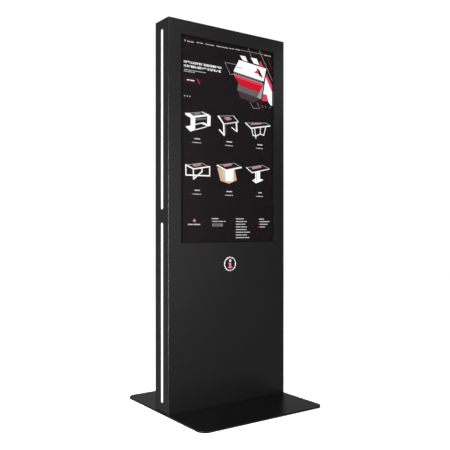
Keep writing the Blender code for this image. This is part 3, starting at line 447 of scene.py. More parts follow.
dress(BLACK, 0.25, "casing", "top_cover", "rear_sill", "middle_rail", "upper_door", "lower_door")
# The plate's coat is a darker copy of the casing's coat: painted shade.
dress(BASE_BLACK_PAINTED_SHADE, 1.3, "base_plate")
dress(RUBBER, 0.3, "base_pad_*")
dress(ZINC, 0.2, "foot_bolt_*", "left_upright", "right_upright", "top_crossmember", "component_plate")
dress(ZINC, 0.2, "display_rail_*")
dress(ZINC, 0.3, *[node for node in NODES if node.endswith(("_base", "_knuckle", "_cam"))])
dress(ANODISED, 0.3, "light_driver", "light_bar_*")
dress(OPAL, 0.2, "light_diffuser_*")
dress(GLASS, 0.3, "touch_glass")
dress(FOAM, 0.1, "glass_gasket")
dress(SCREEN_BLACK, 0.1, "lcd_panel")
dress(GREY, 0.4, "backlight_tray", "display_board_cover", "mini_computer")
dress(PLASTIC, 0.4, "lcd_frame", "power_strip", "power_inlet", "fan_frame", "fan_rotor")
dress(SWITCH, 0.3, "inlet_switch")
dress(CHROME, 0.25, "computer_power_button", *[n for n in NODES if n.endswith(("_housing", "_plug"))])
dress(WHITE_ACRYLIC, 0.3, "emblem_ring")
dress(DARK_ACRYLIC, 0.2, "emblem_disc")
dress(JACKET, 0.0, "mains_cable", "display_power_cable", "video_cable")


# ------------------------------------------------------------------ making pieces

class Piece:
    """A new piece, made of closed solids that are added one by one, in millimetres."""

    def __init__(self, name, finish, body=ROOT):
        self.name, self.finish, self.body = name, finish, body
        self.bm = bmesh.new()

    def box(self, low, high, radius=0.0, axis=None, steps=4):
        """A box between two corners, with its edges along axis (0, 1, 2) rounded, or all of them."""
        low, high = Vector(low) * MM, Vector(high) * MM
        verts = bmesh.ops.create_cube(self.bm, size=1.0)["verts"]
        bmesh.ops.scale(self.bm, vec=high - low, verts=verts)
        bmesh.ops.translate(self.bm, vec=(low + high) / 2, verts=verts)
        if radius:
            edges = {edge for vert in verts for edge in vert.link_edges}
            if axis is not None:
                edges = {e for e in edges if abs((e.verts[1].co - e.verts[0].co).normalized()[axis]) > 0.9}
            bmesh.ops.bevel(
                self.bm, geom=list(edges), offset=radius * MM, segments=steps, profile=0.5, affect="EDGES",
            )
        return self

    def turn(self, profile, place, direction, sides=32):
        """A profile of (radius, height) points turned about direction from place.

        A third number in a point makes its ring a polygon of so many flats, at that radius.
        """
        place = Vector(place)
        turn = Vector(direction).to_track_quat("Z", "Y")
        rings = []
        for radius, height, *flats in profile:
            ring = []
            for side in range(sides if radius > 0 else 1):
                angle = FULL_TURN * side / sides
                reach = radius
                if flats:
                    sector = FULL_TURN / flats[0]
                    reach /= math.cos((angle + sector / 2) % sector - sector / 2)
                point = Vector((reach * math.cos(angle), reach * math.sin(angle), height))
                ring.append(self.bm.verts.new((place + turn @ point) * MM))
            rings.append(ring)
        closed = profile[0][0] > 0 and profile[-1][0] > 0
        pairs = list(zip(rings, rings[1:])) + ([(rings[-1], rings[0])] if closed else [])
        for first, second in pairs:
            for side in range(sides):
                after = (side + 1) % sides
                corners = [first[side % len(first)], first[after % len(first)],
                           second[after % len(second)], second[side % len(second)]]
                self.bm.faces.new(list(dict.fromkeys(corners)))
        return self

    def disc(self, radius, height, place, direction, sides):
        return self.turn([(0, height), (radius, height), (radius, 0), (0, 0)], place, direction, sides)

    def prism(self, outline, across, up, place, depth):
        """A flat outline of (x, y) points, along across and up from place, given this depth."""
        across, up, place = Vector(across), Vector(up), Vector(place)
        out = across.cross(up) * depth * MM
        near = [self.bm.verts.new((place + across * x + up * y) * MM) for x, y in outline]
        far = [self.bm.verts.new(vert.co + out) for vert in near]
        self.bm.faces.new(near)
        self.bm.faces.new(list(reversed(far)))
        for index in range(len(near)):
            after = (index + 1) % len(near)
            self.bm.faces.new((near[index], near[after], far[after], far[index]))
        return self

    def tube(self, points, radius, sides=10, closed=False):
        """A round wire through points."""
        points = [Vector(point) for point in points]
        rings, side_way = [], None
        for index, point in enumerate(points):
            before = points[index - 1] if closed or index else point
            after = points[(index + 1) % len(points)] if closed or index < len(points) - 1 else point
            along = (after - before).normalized()
            side_way = along.orthogonal() if side_way is None else side_way - along * side_way.dot(along)
            side_way.normalize()
            rings.append([self.bm.verts.new(place * MM)
                          for place in circle(point, radius, side_way, along.cross(side_way), sides)])
        for first, second in list(zip(rings, rings[1:])) + ([(rings[-1], rings[0])] if closed else []):
            for side in range(sides):
                after = (side + 1) % sides
                self.bm.faces.new((first[side], first[after], second[after], second[side]))
        if not closed:
            self.bm.faces.new(list(reversed(rings[0])))
            self.bm.faces.new(rings[-1])
        return self

    def done(self, width=0.0, angle=35.0):
        """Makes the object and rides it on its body."""
        bmesh.ops.recalc_face_normals(self.bm, faces=self.bm.faces)
        mesh = bpy.data.meshes.new(self.name)
        self.bm.to_mesh(mesh)
        self.bm.free()
        mesh.materials.append(self.finish.material)
        obj = bpy.data.objects.new(self.name, mesh)
        bpy.context.scene.collection.objects.link(obj)
        soften(obj, width * MM, angle)
        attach(obj, self.body)
        return obj


def circle(centre, radius, across, up, sides=32):
    angles = [FULL_TURN * side / sides for side in range(sides)]
    return [Vector(centre) + (across * math.cos(a) + up * math.sin(a)) * radius for a in angles]


def node_box(node):
    """A node's lowest and highest corner, in millimetres."""
    low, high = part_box(node)
    return low / MM, high / MM


# ------------------------------------------------------------------ the picture on the screen

PANEL_LOW, PANEL_HIGH = node_box("lcd_panel")
CELL_BORDER = 5.5           # dark border of the panel round its picture
LAYER_STEP = 0.08           # between the layers of overlapping shapes


class Picture(Piece):
    """Shapes of one colour. They are given in millimetres from the picture's top left corner."""

    def shape(self, *points, layer=1):
        outline = [(u, -v) for u, v in points]
        area = sum(a[0] * b[1] - b[0] * a[1] for a, b in zip(outline, outline[1:] + outline[:1]))
        if area < 0:
            outline.reverse()
        corner = (PANEL_LOW.x + CELL_BORDER, PANEL_LOW.y - layer * LAYER_STEP, PANEL_HIGH.z - CELL_BORDER)
        return self.prism(outline, X_AXIS, Z_AXIS, corner, 0.5 * LAYER_STEP)

    def block(self, u, v, width, height, layer=1):
        """An upright rectangle whose top left corner is at (u, v)."""
        return self.shape((u, v), (u + width, v), (u + width, v + height), (u, v + height), layer=layer)

    def stroke(self, width, *points, layer=1):
        """Straight strokes from point to point."""
        for start, end in zip(points, points[1:]):
            start, end = Vector(start), Vector(end)
            along = (end - start).normalized() * width / 2
            side = Vector((-along.y, along.x))
            start, end = start - along, end + along
            self.shape(start + side, start - side, end - side, end + side, layer=layer)
        return self

    def dot(self, u, v, radius, layer=1, sides=20):
        angles = [FULL_TURN * side / sides for side in range(sides)]
        points = [(u + radius * math.cos(a), v + radius * math.sin(a)) for a in angles]
        return self.shape(*points, layer=layer)

    def words(self, u, v, height, *lengths, gap=None, layer=1):
        """A line of plain bars that stand for words."""
        gap = height * 0.9 if gap is None else gap
        for length in lengths:
            self.block(u, v, length, height, layer)
            u += length + gap
        return self


def colour_of(red, green, blue):
    """A screen colour from its three levels of 0 to 255."""
    levels = [level / 255 for level in (red, green, blue)]
    return tuple(x / 12.92 if x <= 0.04045 else ((x + 0.055) / 1.055) ** 2.4 for x in levels)


def picture(name, *levels, glow=SCREEN_GLOW):
    return Picture(f"picture_{name}", lit(f"picture_{name}", colour_of(*levels), glow))


WHITE_SHAPES = picture("white", 255, 255, 255, glow=BRIGHT_GLOW)
PALE_SHAPES = picture("pale", 205, 203, 204, glow=BRIGHT_GLOW)
GREY_SHAPES = picture("grey", 138, 136, 137)
RED_SHAPES = picture("red", 226, 8, 42)
PINK_SHAPES = picture("pink", 245, 70, 105)
ROSE_SHAPES = picture("rose", 214, 158, 167)
WINE_SHAPES = picture("wine", 150, 10, 48)
BROWN_SHAPES = picture("brown", 78, 54, 54)
STEEL_SHAPES = picture("steel", 104, 112, 114)
SILVER_SHAPES = picture("silver", 172, 180, 182)
INK_SHAPES = picture("ink", 14, 14, 15)
WOOD_SHAPES = picture("wood", 246, 200, 160)


def draw_header():
    ROSE_SHAPES.shape((21, 28), (26, 21), (31, 28), (26, 32))
    PALE_SHAPES.words(38, 27.0, 3.6, 14, 17)
    PALE_SHAPES.words(88, 24.5, 3.0, 15, 17)
    PALE_SHAPES.words(137, 24.0, 3.0, 20, 25)
    PALE_SHAPES.words(199, 23.0, 3.0, 30, 33)
    PALE_SHAPES.words(271, 21.5, 3.0, 12, 14, gap=3)
    PALE_SHAPES.words(309, 20.5, 3.0, 27)
    PALE_SHAPES.stroke(1.0, (340, 21), (478, 21))
    PALE_SHAPES.words(484, 20.5, 3.4, 22, 17)


def draw_headline():
    """Two bold lines. Upright strokes of uneven width stand for the letters."""
    rng, full = random.Random(4), 10.5
    for top, words in ((118.5, (98, 103)), (136.5, (9, 108, 74))):
        u = 20.0
        for length in words:
            end = u + length
            while u < end - 1.0:
                width = min(rng.choice((2.8, 2.8, 5.6)), end - u)
                height = full if rng.random() < 0.75 else rng.choice((3.5, 5.5))
                drop = 0.0 if rng.random() < 0.6 else full - height
                WHITE_SHAPES.block(u, top + drop, width, height)
                u += width + rng.choice((1.6, 3.2))
            u = end + 6.0
    PALE_SHAPES.words(20, 158, 2.6, 22, 17, 30, 26, 14)
    PALE_SHAPES.words(20, 165.5, 2.6, 18, 24, 12)


def draw_button():
    WINE_SHAPES.stroke(1.1, (21, 195), (106, 195), (106, 214), (21, 214), (21, 195))
    WHITE_SHAPES.words(36, 202.5, 4.2, 14, 22)
    PINK_SHAPES.stroke(3.4, (92, 196), (104, 213), layer=2)
    for index in range(3):
        PALE_SHAPES.dot(24 + 13.6 * index, 279, 2.9)


def draw_artwork():
    """Leaning panels, stripes and outlines in the top right of the page."""
    PALE_SHAPES.stroke(1.1, (385, 6), (407, 47))
    PALE_SHAPES.stroke(1.1, (310, 95), (247, 94), (277, 146), (295, 145))
    PALE_SHAPES.stroke(1.1, (398, 266), (416, 293), (456, 289), (441, 262))
    PALE_SHAPES.stroke(1.3, (454, 6), (536, 142), layer=7)
    WINE_SHAPES.stroke(2.2, (470, 10), (484, 22)).stroke(2.2, (506, 36), (536, 88))
    WINE_SHAPES.stroke(2.2, (454, 255), (476, 295))
    WHITE_SHAPES.shape((335, 47), (368, 47), (382, 71), (351, 67))
    WHITE_SHAPES.shape((400, 48), (437, 47), (453, 76), (420, 73))
    PINK_SHAPES.shape((460, 54), (482, 84), (451, 77))
    BROWN_SHAPES.shape((322, 216), (336, 250), (416, 266), (466, 242))
    STEEL_SHAPES.shape((325, 185), (319, 217), (466, 243), (481, 170), layer=2)
    SILVER_SHAPES.shape((455, 212), (481, 170), (466, 243), (440, 238), layer=3)
    RED_SHAPES.shape((294, 140), (479, 162), (454, 212), (336, 194), layer=3)
    PINK_SHAPES.shape((297, 142), (478, 166), (473, 178), (305, 156), layer=4)
    ROSE_SHAPES.shape((294, 140), (479, 162), (478, 167), (297, 144), layer=5)
    INK_SHAPES.shape((297, 128), (481, 150), (480, 163), (293, 140), layer=6)
    for index in range(16):
        u, v = 306 + 10.6 * index, 131.5 + 1.27 * index
        SILVER_SHAPES.shape((u, v), (u + 3.6, v + 0.4), (u - 1.4, v + 7.4), (u - 5, v + 7), layer=7)
    WHITE_SHAPES.shape((330, 70), (497, 88), (481, 153), (297, 129), layer=7)
    WINE_SHAPES.words(315, 106, 3.4, 9, 7, 9, layer=8)
    PINK_SHAPES.shape((440, 88), (462, 124), (420, 118), (436, 106), layer=8)
    INK_SHAPES.shape((450, 94), (477, 138), (452, 128), (446, 108), layer=9)
    PALE_SHAPES.stroke(1.2, (430, 82), (437, 96), (446, 90), layer=8)
    PINK_SHAPES.shape((498, 112), (535, 166), (535, 200), (494, 131), layer=3)
    WHITE_SHAPES.shape((494, 131), (535, 200), (535, 268), (526, 266), (478, 217), layer=3)
    PINK_SHAPES.shape((478, 216), (500, 216), (512, 249), (470, 250), layer=4)
    for u in (474, 494, 522):
        PALE_SHAPES.dot(u, 278, 1.9)


def draw_desk_top(rim, face, glow_centre, width=6.0):
    """A table's top: a dark face with a thin outline, a thick near rim, and a lit patch."""
    INK_SHAPES.shape(*face, layer=3)
    PALE_SHAPES.stroke(1.6, *face, face[0], layer=5)
    WHITE_SHAPES.stroke(width, *rim, layer=4)
    ROSE_SHAPES.shape(*glow_centre, layer=5)
    INK_SHAPES.stroke(1.4, glow_centre[0], glow_centre[2], layer=6)


def draw_upper_tables():
    """Three plain tables with screens in their tops."""
    white = WHITE_SHAPES
    white.shape((25, 357), (53, 354), (80, 369), (66, 380), (30, 366))
    white.shape((56, 368), (81, 366), (80, 430), (55, 438))
    white.shape((28, 418), (58, 410), (80, 424), (56, 440))
    white.shape((148, 352), (166, 358), (164, 404), (145, 406), (147, 366))
    white.shape((112, 393), (126, 390), (160, 400), (148, 408))
    draw_desk_top(((72, 370), (150, 354)), ((50, 355), (119, 343), (140, 352), (74, 367)),
                  ((66, 355), (105, 349), (112, 354), (79, 360)), 9.0)
    white.stroke(5.0, (120, 344), (160, 356), layer=4)
    white.stroke(4.0, (82, 404), (112, 395), (125, 398)).stroke(4.0, (82, 428), (140, 410))
    STEEL_SHAPES.shape((82, 376), (145, 366), (145, 374), (82, 386), layer=2)

    white.stroke(8.0, (210, 354), (240, 386), (242, 438))
    white.stroke(7.0, (216, 417), (242, 439))
    white.stroke(8.0, (314, 372), (317, 412)).stroke(5.0, (288, 400), (316, 415))
    STEEL_SHAPES.stroke(4.0, (250, 388), (251, 434), layer=2).stroke(3.0, (252, 388), (308, 378))
    draw_desk_top(((242, 386), (326, 369), (298, 344)), ((214, 352), (296, 342), (326, 367), (242, 385)),
                  ((236, 357), (271, 350), (290, 361), (260, 368)), 3.5)

    draw_desk_top(((370, 370), (403, 392), (521, 370)), ((372, 369), (497, 358), (520, 368), (403, 389)),
                  ((405, 368), (464, 361), (471, 367), (400, 376)), 6.0)
    white.stroke(4.5, (406, 392), (415, 426), (433, 428), (460, 415), (482, 420), (495, 376))
    white.stroke(4.5, (424, 390), (433, 438)).stroke(4.0, (461, 384), (460, 415))


def draw_lower_tables():
    """Three more: one of bars, one of wood and one on a post."""
    white = WHITE_SHAPES
    white.stroke(6.0, (30, 592), (31, 638), (160, 636), (160, 594))
    white.stroke(6.0, (70, 609), (72, 654), (118, 618), (116, 602))
    draw_desk_top(((30, 592), (71, 609), (160, 593)), ((40, 591), (116, 579), (150, 592), (72, 606)),
                  ((62, 588), (107, 582), (118, 590), (74, 598)), 5.5)

    WOOD_SHAPES.shape((203, 594), (255, 605), (262, 666), (222, 656))
    WOOD_SHAPES.shape((294, 600), (304, 598), (316, 650), (292, 658))
    WOOD_SHAPES.shape((222, 656), (254, 655), (294, 655), (314, 650), (272, 668))
    white.shape((248, 604), (297, 598), (295, 656), (251, 657), layer=2)
    PALE_SHAPES.shape((226, 606), (246, 612), (248, 654), (240, 640), layer=2)
    draw_desk_top(((204, 585), (254, 605), (342, 587)), ((206, 583), (301, 569), (340, 584), (254, 602)),
                  ((230, 581), (282, 572), (292, 580), (245, 589)), 7.0)

    white.shape((428, 606), (459, 600), (459, 640), (429, 645))
    white.shape((410, 646), (430, 636), (477, 638), (474, 645), (433, 660))
    INK_SHAPES.stroke(2.5, (438, 608), (438, 644), layer=2)
    draw_desk_top(((375, 586), (410, 609), (516, 585)), ((376, 585), (477, 569), (515, 584), (410, 606)),
                  ((402, 580), (456, 571), (475, 579), (413, 592)), 4.5)


def draw_captions():
    """A name and a line of small words under each table."""
    for top, columns in ((466.5, ((76, 31, 64, 49), (256, 33, 248, 46), (442, 32, 433, 43))),
                         (703, ((77, 28, 64, 49), (256, 33, 248, 46), (448, 21, 433, 43)))):
        for name_start, name_length, line_start, line_length in columns:
            PALE_SHAPES.block(name_start, top, name_length, 5.0)
            PALE_SHAPES.words(line_start, top + 18.6, 3.2, 5, line_length - 18, 8, gap=2.4)


def draw_footer():
    ROSE_SHAPES.shape((76, 836), (85, 845), (76, 854), (67, 845))
    PALE_SHAPES.words(41, 860, 5.0, 26, 36)
    PALE_SHAPES.words(172, 833, 4.2, 38)
    PALE_SHAPES.words(176, 846, 3.6, 30, 28, 10)
    GREY_SHAPES.block(174, 858, 61, 13.5)
    INK_SHAPES.words(182, 863, 3.2, 26, 14, layer=2)
    list_rows = ((47,), (42, 20), (30, 22), (28, 34), (64,), (46, 36), (40, 22), (50, 28))
    for row, lengths in enumerate(list_rows):
        PALE_SHAPES.words(311, 833 + 12.9 * row, 3.8, *lengths)
    PALE_SHAPES.words(452, 833, 4.2, 31)
    for row, lengths in enumerate(((62,), (50,), (34,))):
        PALE_SHAPES.words(456, 845.5 + 13.2 * row, 3.8, *lengths)
        WINE_SHAPES.block(446, 844.5 + 13.2 * row, 6, 6)
    WINE_SHAPES.block(168, 845, 6, 6)


for draw in (draw_header, draw_headline, draw_button, draw_artwork, draw_upper_tables, draw_lower_tables,
             draw_captions, draw_footer):
    draw()
for shapes in (WHITE_SHAPES, PALE_SHAPES, GREY_SHAPES, RED_SHAPES, PINK_SHAPES, ROSE_SHAPES,
               WINE_SHAPES, BROWN_SHAPES, STEEL_SHAPES, SILVER_SHAPES, INK_SHAPES, WOOD_SHAPES):
    shapes.done()


# ------------------------------------------------------------------ emblem

def add_emblem_sign():
    """An information sign: a dot over a stem with short feet, printed on the dark disc. The print has a
    painted glow: it shines by emission, though it is no lamp.
    """
    low, high = node_box("emblem_disc")
    centre, radius = (low + high) / 2, (high.x - low.x) / 2
    thickness = 0.4
    # Painted glow: the printed white dot shines by emission.
    white = lit("emblem_white_painted_glow", colour_of(255, 215, 222), 0.95, "white_acrylic")
    rim = [(0, thickness), (0.22 * radius, thickness), (0.24 * radius, 0.5 * thickness), (0.24 * radius, 0)]
    dot_place = (centre.x, low.y, centre.z + 0.52 * radius)
    Piece("emblem_sign_dot", white).turn([*rim, (0, 0)], dot_place, -Y_AXIS, 28).done()
    # Painted glow: the printed rose stem shines by emission.
    rose = lit("emblem_rose_painted_glow", colour_of(250, 130, 155), 0.95, "white_acrylic")
    stem = [(-0.36, 0.16), (0.19, 0.16), (0.19, -0.48), (0.42, -0.48), (0.42, -0.68),
            (-0.42, -0.68), (-0.42, -0.48), (-0.19, -0.48), (-0.19, -0.04), (-0.36, -0.04)]
    stem = [(x * radius, z * radius) for x, z in stem]
    place = (centre.x, low.y, centre.z)
    Piece("emblem_sign_stem", rose).prism(stem, X_AXIS, Z_AXIS, place, thickness).done(0.08)


add_emblem_sign()


# ------------------------------------------------------------------ fittings

FILTER = moulded("filter_mat", (0.035, 0.036, 0.038), "gasket_foam", 0.95)
# Dark plastic for printed marks, and also painted shade: flat dark patches that stand for the shaded insides
# of holes and port openings.
DARK_PRINT_AND_HOLE_SHADE = moulded("dark_print_and_hole_shade", (0.006, 0.006, 0.006), "black_plastic", 0.6)
LABEL = acrylic("printed_label", (0.55, 0.55, 0.53), "white_acrylic", 0.45)
GREEN_LAMP = lit("green_lamp", (0.10, 1.0, 0.25), 1.5, "switch_plastic", Dots=60.0, Depth=0.01)
EARTH = striped_wire()
DOORS = (("upper", UPPER), ("lower", LOWER))
SIDES = (-1, 1)
BACK = node_box("casing")[1].y
SKIN = BACK - 1.5           # inner face of a door
CABLE_LANE = 3              # y of the cables' middles over the component plate
RAIL_SCREW_X = 291          # screws of the rails and the component plate, in the uprights


def spread(low, high, count):
    return [low + (high - low) * index / (count - 1) for index in range(count)]


def grid(columns, y, rows):
    return [(x, y, z) for x in columns for z in rows]


def corner_places(low, high, y, edge, edge_z=None):
    """Four places at y, this far inside the edges of a box that is seen along Y."""
    edge_z = edge if edge_z is None else edge_z
    return grid((low.x + edge, high.x - edge), y, (low.z + edge_z, high.z - edge_z))


def smooth_route(*points, steps=6):
    """Points on one smooth curve through the given ones."""
    points = [Vector(point) for point in points]
    ends = [points[0] * 2 - points[1], *points, points[-1] * 2 - points[-2]]
    route = []
    for before, start, end, after in zip(ends, ends[1:], ends[2:], ends[3:]):
        for step in range(steps):
            t = step / steps
            route.append(0.5 * (
                start * 2 + (end - before) * t + (before * 2 - start * 5 + end * 4 - after) * t**2
                + (start * 3 - before - end * 3 + after) * t**3
            ))
    return route + [points[-1]]


def add_screws(name, places, radius=3.5, height=1.6, out=Y_AXIS, body=ROOT, finish=ZINC):
    """Button-head screws with a hexagon socket, standing on places."""
    piece, r, h = Piece(name, finish, body), radius, height
    profile = [(0, 0.35 * h), (0.38 * r, 0.35 * h, 6), (0.40 * r, 0.95 * h, 6), (0.55 * r, h),
               (0.80 * r, 0.86 * h), (0.95 * r, 0.5 * h), (r, 0.2 * h), (r, 0), (0, 0)]
    for place in places:
        piece.turn(profile, place, out, 24)
    piece.done()


def add_rivets(name, places, radius, height, out=Y_AXIS, body=ROOT, finish=CHROME):
    piece, r, h = Piece(name, finish, body), radius, height
    for place in places:
        profile = [(0, h), (0.45 * r, 0.95 * h), (0.8 * r, 0.7 * h), (r, 0.25 * h), (r, 0), (0, 0)]
        piece.turn(profile, place, out, 16)
    piece.done()


def add_stud(name, place, body, length, nut_top, washer_top, washer):
    """A threaded stud with a washer and a hexagon nut, for an earth wire."""
    profile = [(0, length), (2.6, length), (3, length - 0.5), (3, nut_top), (5, nut_top, 6),
               (5, washer_top, 6), (washer, washer_top), (washer, 0), (0, 0)]
    Piece(name, CHROME, body).turn(profile, place, -Y_AXIS, 24).done()


def add_label(name, low, high, face, start, first, step, height, rows, levels=(0.15, 0.14, 0.22)):
    """A printed label between two (x, z) corners, with plain bars in rows for its words.

    The rows hold (left, right) pairs that count from start. The levels over face are those of
    the label's front, the bars' backs and the bars' fronts.
    """
    front, bar_back, bar_front = levels
    Piece(name, LABEL).box((low[0], face, low[1]), (high[0], face + front, high[1]), 1.5, 1).done()
    bars = Piece(f"{name}_bars", DARK_PRINT_AND_HOLE_SHADE)
    for row, pairs in enumerate(rows):
        top = first - step * row
        for left, right in pairs:
            bars.box((start + left, face + bar_back, top - height), (start + right, face + bar_front, top))
    bars.done()


def add_lead(name, radius, sides, *routes, body=ROOT, finish=JACKET):
    lead = Piece(name, finish, body)
    for route in routes:
        lead.tube(smooth_route(*route), radius, sides)
    lead.done()


def cable_centre(node, height):
    """Middle of a cable where it passes this height."""
    matrix = NODES[node].matrix_world
    points = [matrix @ vert.co / MM for vert in NODES[node].data.vertices]
    level = min(points, key=lambda point: abs(point.z - height)).z
    ring = [point for point in points if abs(point.z - level) < 2.0]
    return sum(ring, Vector()) / len(ring)


# ------------------------------------------------------------------ rear outside

def add_hinge_screws():
    """Two screws in each leaf of each hinge: one leaf is on the casing, the other on its door."""
    leaf_inset, leaf_height, face = 6, 25, BACK + 2.3
    fixed = []
    for door, body in DOORS:
        moving = []
        for end in ("lower", "upper"):
            base, knuckle = [node_box(f"{door}_door_{end}_hinge_{part}") for part in ("base", "knuckle")]
            end_z = min(base[1].z, knuckle[1].z)
            for store, x, bottom in ((fixed, base[0].x + leaf_inset, base[0].z),
                                     (moving, knuckle[1].x - leaf_inset, max(base[0].z, knuckle[0].z))):
                reach = min(end_z - bottom, leaf_height)
                store += grid([x], face, (bottom + 0.25 * reach, bottom + 0.75 * reach))
        add_screws(f"hinge_screws_{door}_door", moving, 3.2, 1.4, body=body, finish=CHROME)
    add_screws("hinge_screws_fixed", fixed, 3.2, 1.4, finish=CHROME)


def add_lock_details():
    """Outside, a dot at each of the key's two places. Inside, the nut that holds the housing."""
    for door, body in DOORS:
        low, high = node_box(f"{door}_lock_housing")
        centre, reach = (low + high) / 2, 0.82 * 11
        marks = Piece(f"{door}_lock_marks", WHITE_ACRYLIC, body)
        marks.disc(0.8, 0.15, (centre.x, high.y, centre.z + reach), Y_AXIS, 12)
        marks.disc(0.8, 0.15, (centre.x - reach, high.y, centre.z), Y_AXIS, 12)
        marks.done()
        profile = [(9.05, 0), (12, 0, 6), (12, 3.6, 6), (11, 4), (9.05, 4)]
        nut = Piece(f"{door}_lock_nut", CHROME, body)
        nut.turn(profile, (centre.x, BACK - 1.6, centre.z), -Y_AXIS, 36).done(0.15)


def rocker_halves():
    """Middle and normal of the rocker switch's lower and upper half, which both look back."""
    rocker = NODES["inlet_switch"]
    turn = rocker.matrix_world.to_3x3()
    found = []
    for polygon in rocker.data.polygons:
        normal = (turn @ polygon.normal).normalized()
        if normal.y > 0.8:
            found.append((polygon.area, rocker.matrix_world @ polygon.center / MM, normal))
    found.sort(key=lambda item: -item[0])
    return sorted(found[:2], key=lambda item: item[1].z)


def add_inlet_details():
    """The inlet's three pins and its screws, and the rocker's line and ring."""
    low, high = node_box("power_inlet")
    middle = (low + high) / 2
    pins = Piece("inlet_pins", CHROME)
    for x, z in ((-7, -2), (7, -2), (0, 2)):
        place = Vector((middle.x - 11.5 + x, high.y - 16, middle.z + z))
        pins.box(place - Vector((1, 0, 2)), place + Vector((1, 13, 2)), 0.4, 1, 2)
    pins.done()
    places = [(middle.x + side * 25.6, high.y, middle.z + side * 11.5) for side in SIDES]
    add_screws("inlet_screws", places, 2.2, 1.0)
    (_, lower, lower_out), (_, upper, upper_out) = rocker_halves()
    marks = Piece("power_switch_marks", WHITE_ACRYLIC, "power_switch")
    line = [(-0.5, -2), (0.5, -2), (0.5, 2), (-0.5, 2)]
    marks.prism(line, -X_AXIS, lower_out.cross(-X_AXIS), lower, 0.12)
    marks.turn([(1.3, 0), (2.1, 0), (2.1, 0.12), (1.3, 0.12)], upper, upper_out, 24)
    marks.done()


def add_rating_plate():
    """A small metal plate beside the inlet. Plain bars stand for what such a plate says."""
    low, high = node_box("rear_sill")
    left, right, z, half = 60, 128, (low.z + high.z) / 2, 19
    face = BACK + 0.6
    plate = Piece("rating_plate", ANODISED)
    plate.box((left, BACK, z - half), (right, face, z + half), 2, 1).done(0.1)
    bars = Piece("rating_plate_bars", PLASTIC)
    for row, share in enumerate((0.55, 0.80, 0.66, 0.74, 0.42)):
        top = z + half * (0.72 - 0.34 * row)
        start, end = right - (right - left) * share, right - (right - left) * 0.08
        bars.box((start, face, top - 2.2), (end, face + 0.1, top))
    bars.box((left + 6, face, z - 13), (left + 18, face + 0.1, z - 4)).done()
    places = grid((left + 3.5, right - 3.5), face, (z - 15, z + 15))
    add_rivets("rating_plate_rivets", places, 1.6, 0.6)


def add_rear_screws():
    low, high = node_box("rear_sill")
    add_screws("sill_screws", grid((-300, -140, 20, 300), BACK, (low.z + 20, high.z - 12)), 3.6, 1.6)
    low, high = node_box("middle_rail")
    add_screws("middle_rail_screws", grid((-303, 303), high.y, (low.z + 9, high.z - 9)), 2.6, 0.3)
    header = node_box("top_cover")[0].z + 13
    add_screws("header_screws", grid(spread(-290, 290, 5), BACK, [header]), 3.2, 1.4)


# ------------------------------------------------------------------ inside of the doors

def add_filter(name, body, left, right, low, high):
    """A filter mat in a moulded frame, clipped behind a door's vents."""
    rim, depth = 7, 5
    inner, outer = SKIN - depth, SKIN - 0.05
    inside_low, inside_high = (left + rim / 2, low + rim / 2), (right - rim / 2, high - rim / 2)
    mat = Piece(f"{name}_mat", FILTER, body)
    mat.box((inside_low[0], SKIN - 0.7 * depth, inside_low[1]), (inside_high[0], SKIN - 0.1, inside_high[1]))
    mat.done()
    edge = Piece(f"{name}_frame", PLASTIC, body)
    for start, end, bottom, top, axis in (
        (left, right, low, low + rim, 0), (left, right, high - rim, high, 0),
        (left, left + rim, low + rim, high - rim, 2), (right - rim, right, low + rim, high - rim, 2),
    ):
        edge.box((start, inner, bottom), (end, outer, top), 1, axis)
    bars = max(1, round((right - left) / 60))
    for x in spread(left, right, bars + 2)[1:-1]:
        edge.box((x - 1.5, inner + 0.4, low + rim), (x + 1.5, inner + 2, high - rim))
    edge.done()
    clips = grid((inside_low[0], inside_high[0]), inner, [(low + high) / 2])
    add_screws(f"{name}_screws", clips, 2.6, 1.2, -Y_AXIS, body)


def add_stiffener(name, body, x, low, high):
    """A folded hat channel, spot-welded inside a door."""
    half, depth, brim, sheet = 8, 8, 7, 1.2
    wide = half + sheet
    outline = [(-half - brim, 0), (-half, 0), (-half, depth), (half, depth), (half, 0), (half + brim, 0),
               (half + brim, sheet), (wide, sheet), (wide, depth + sheet),
               (-wide, depth + sheet), (-wide, sheet), (-half - brim, sheet)]
    Piece(name, BLACK, body).prism(outline, X_AXIS, -Y_AXIS, (x, SKIN, high), high - low).done(0.2)
    reach = half + brim / 2 + sheet / 2
    places = grid((x - reach, x + reach), SKIN - sheet, spread(low + 15, high - 15, 5))
    add_rivets(f"{name}_welds", places, 2.2, 0.25, -Y_AXIS, body, BLACK)


def add_door_insides():
    for door, body in DOORS:
        low, high = node_box(f"{door}_door")
        for side, x in (("left", -236), ("right", 236)):
            add_stiffener(f"{door}_door_stiffener_{side}", body, x, low.z + 24, high.z - 24)
        add_stud(f"{door}_door_earth_stud", (-270, SKIN, low.z + 40), body, 12, 4.5, 1.2, 6)
    fan_low, fan_high = node_box("fan_frame")
    for side, x in (("left", -150), ("right", 150)):
        add_filter(f"upper_filter_{side}", UPPER, x - 48, x + 48, fan_low.z - 5, fan_high.z + 5)
    vents = node_box("lower_door")[0].z + 85
    add_filter("lower_filter", LOWER, -205, 205, vents - 42, vents + 42)


# ------------------------------------------------------------------ fan

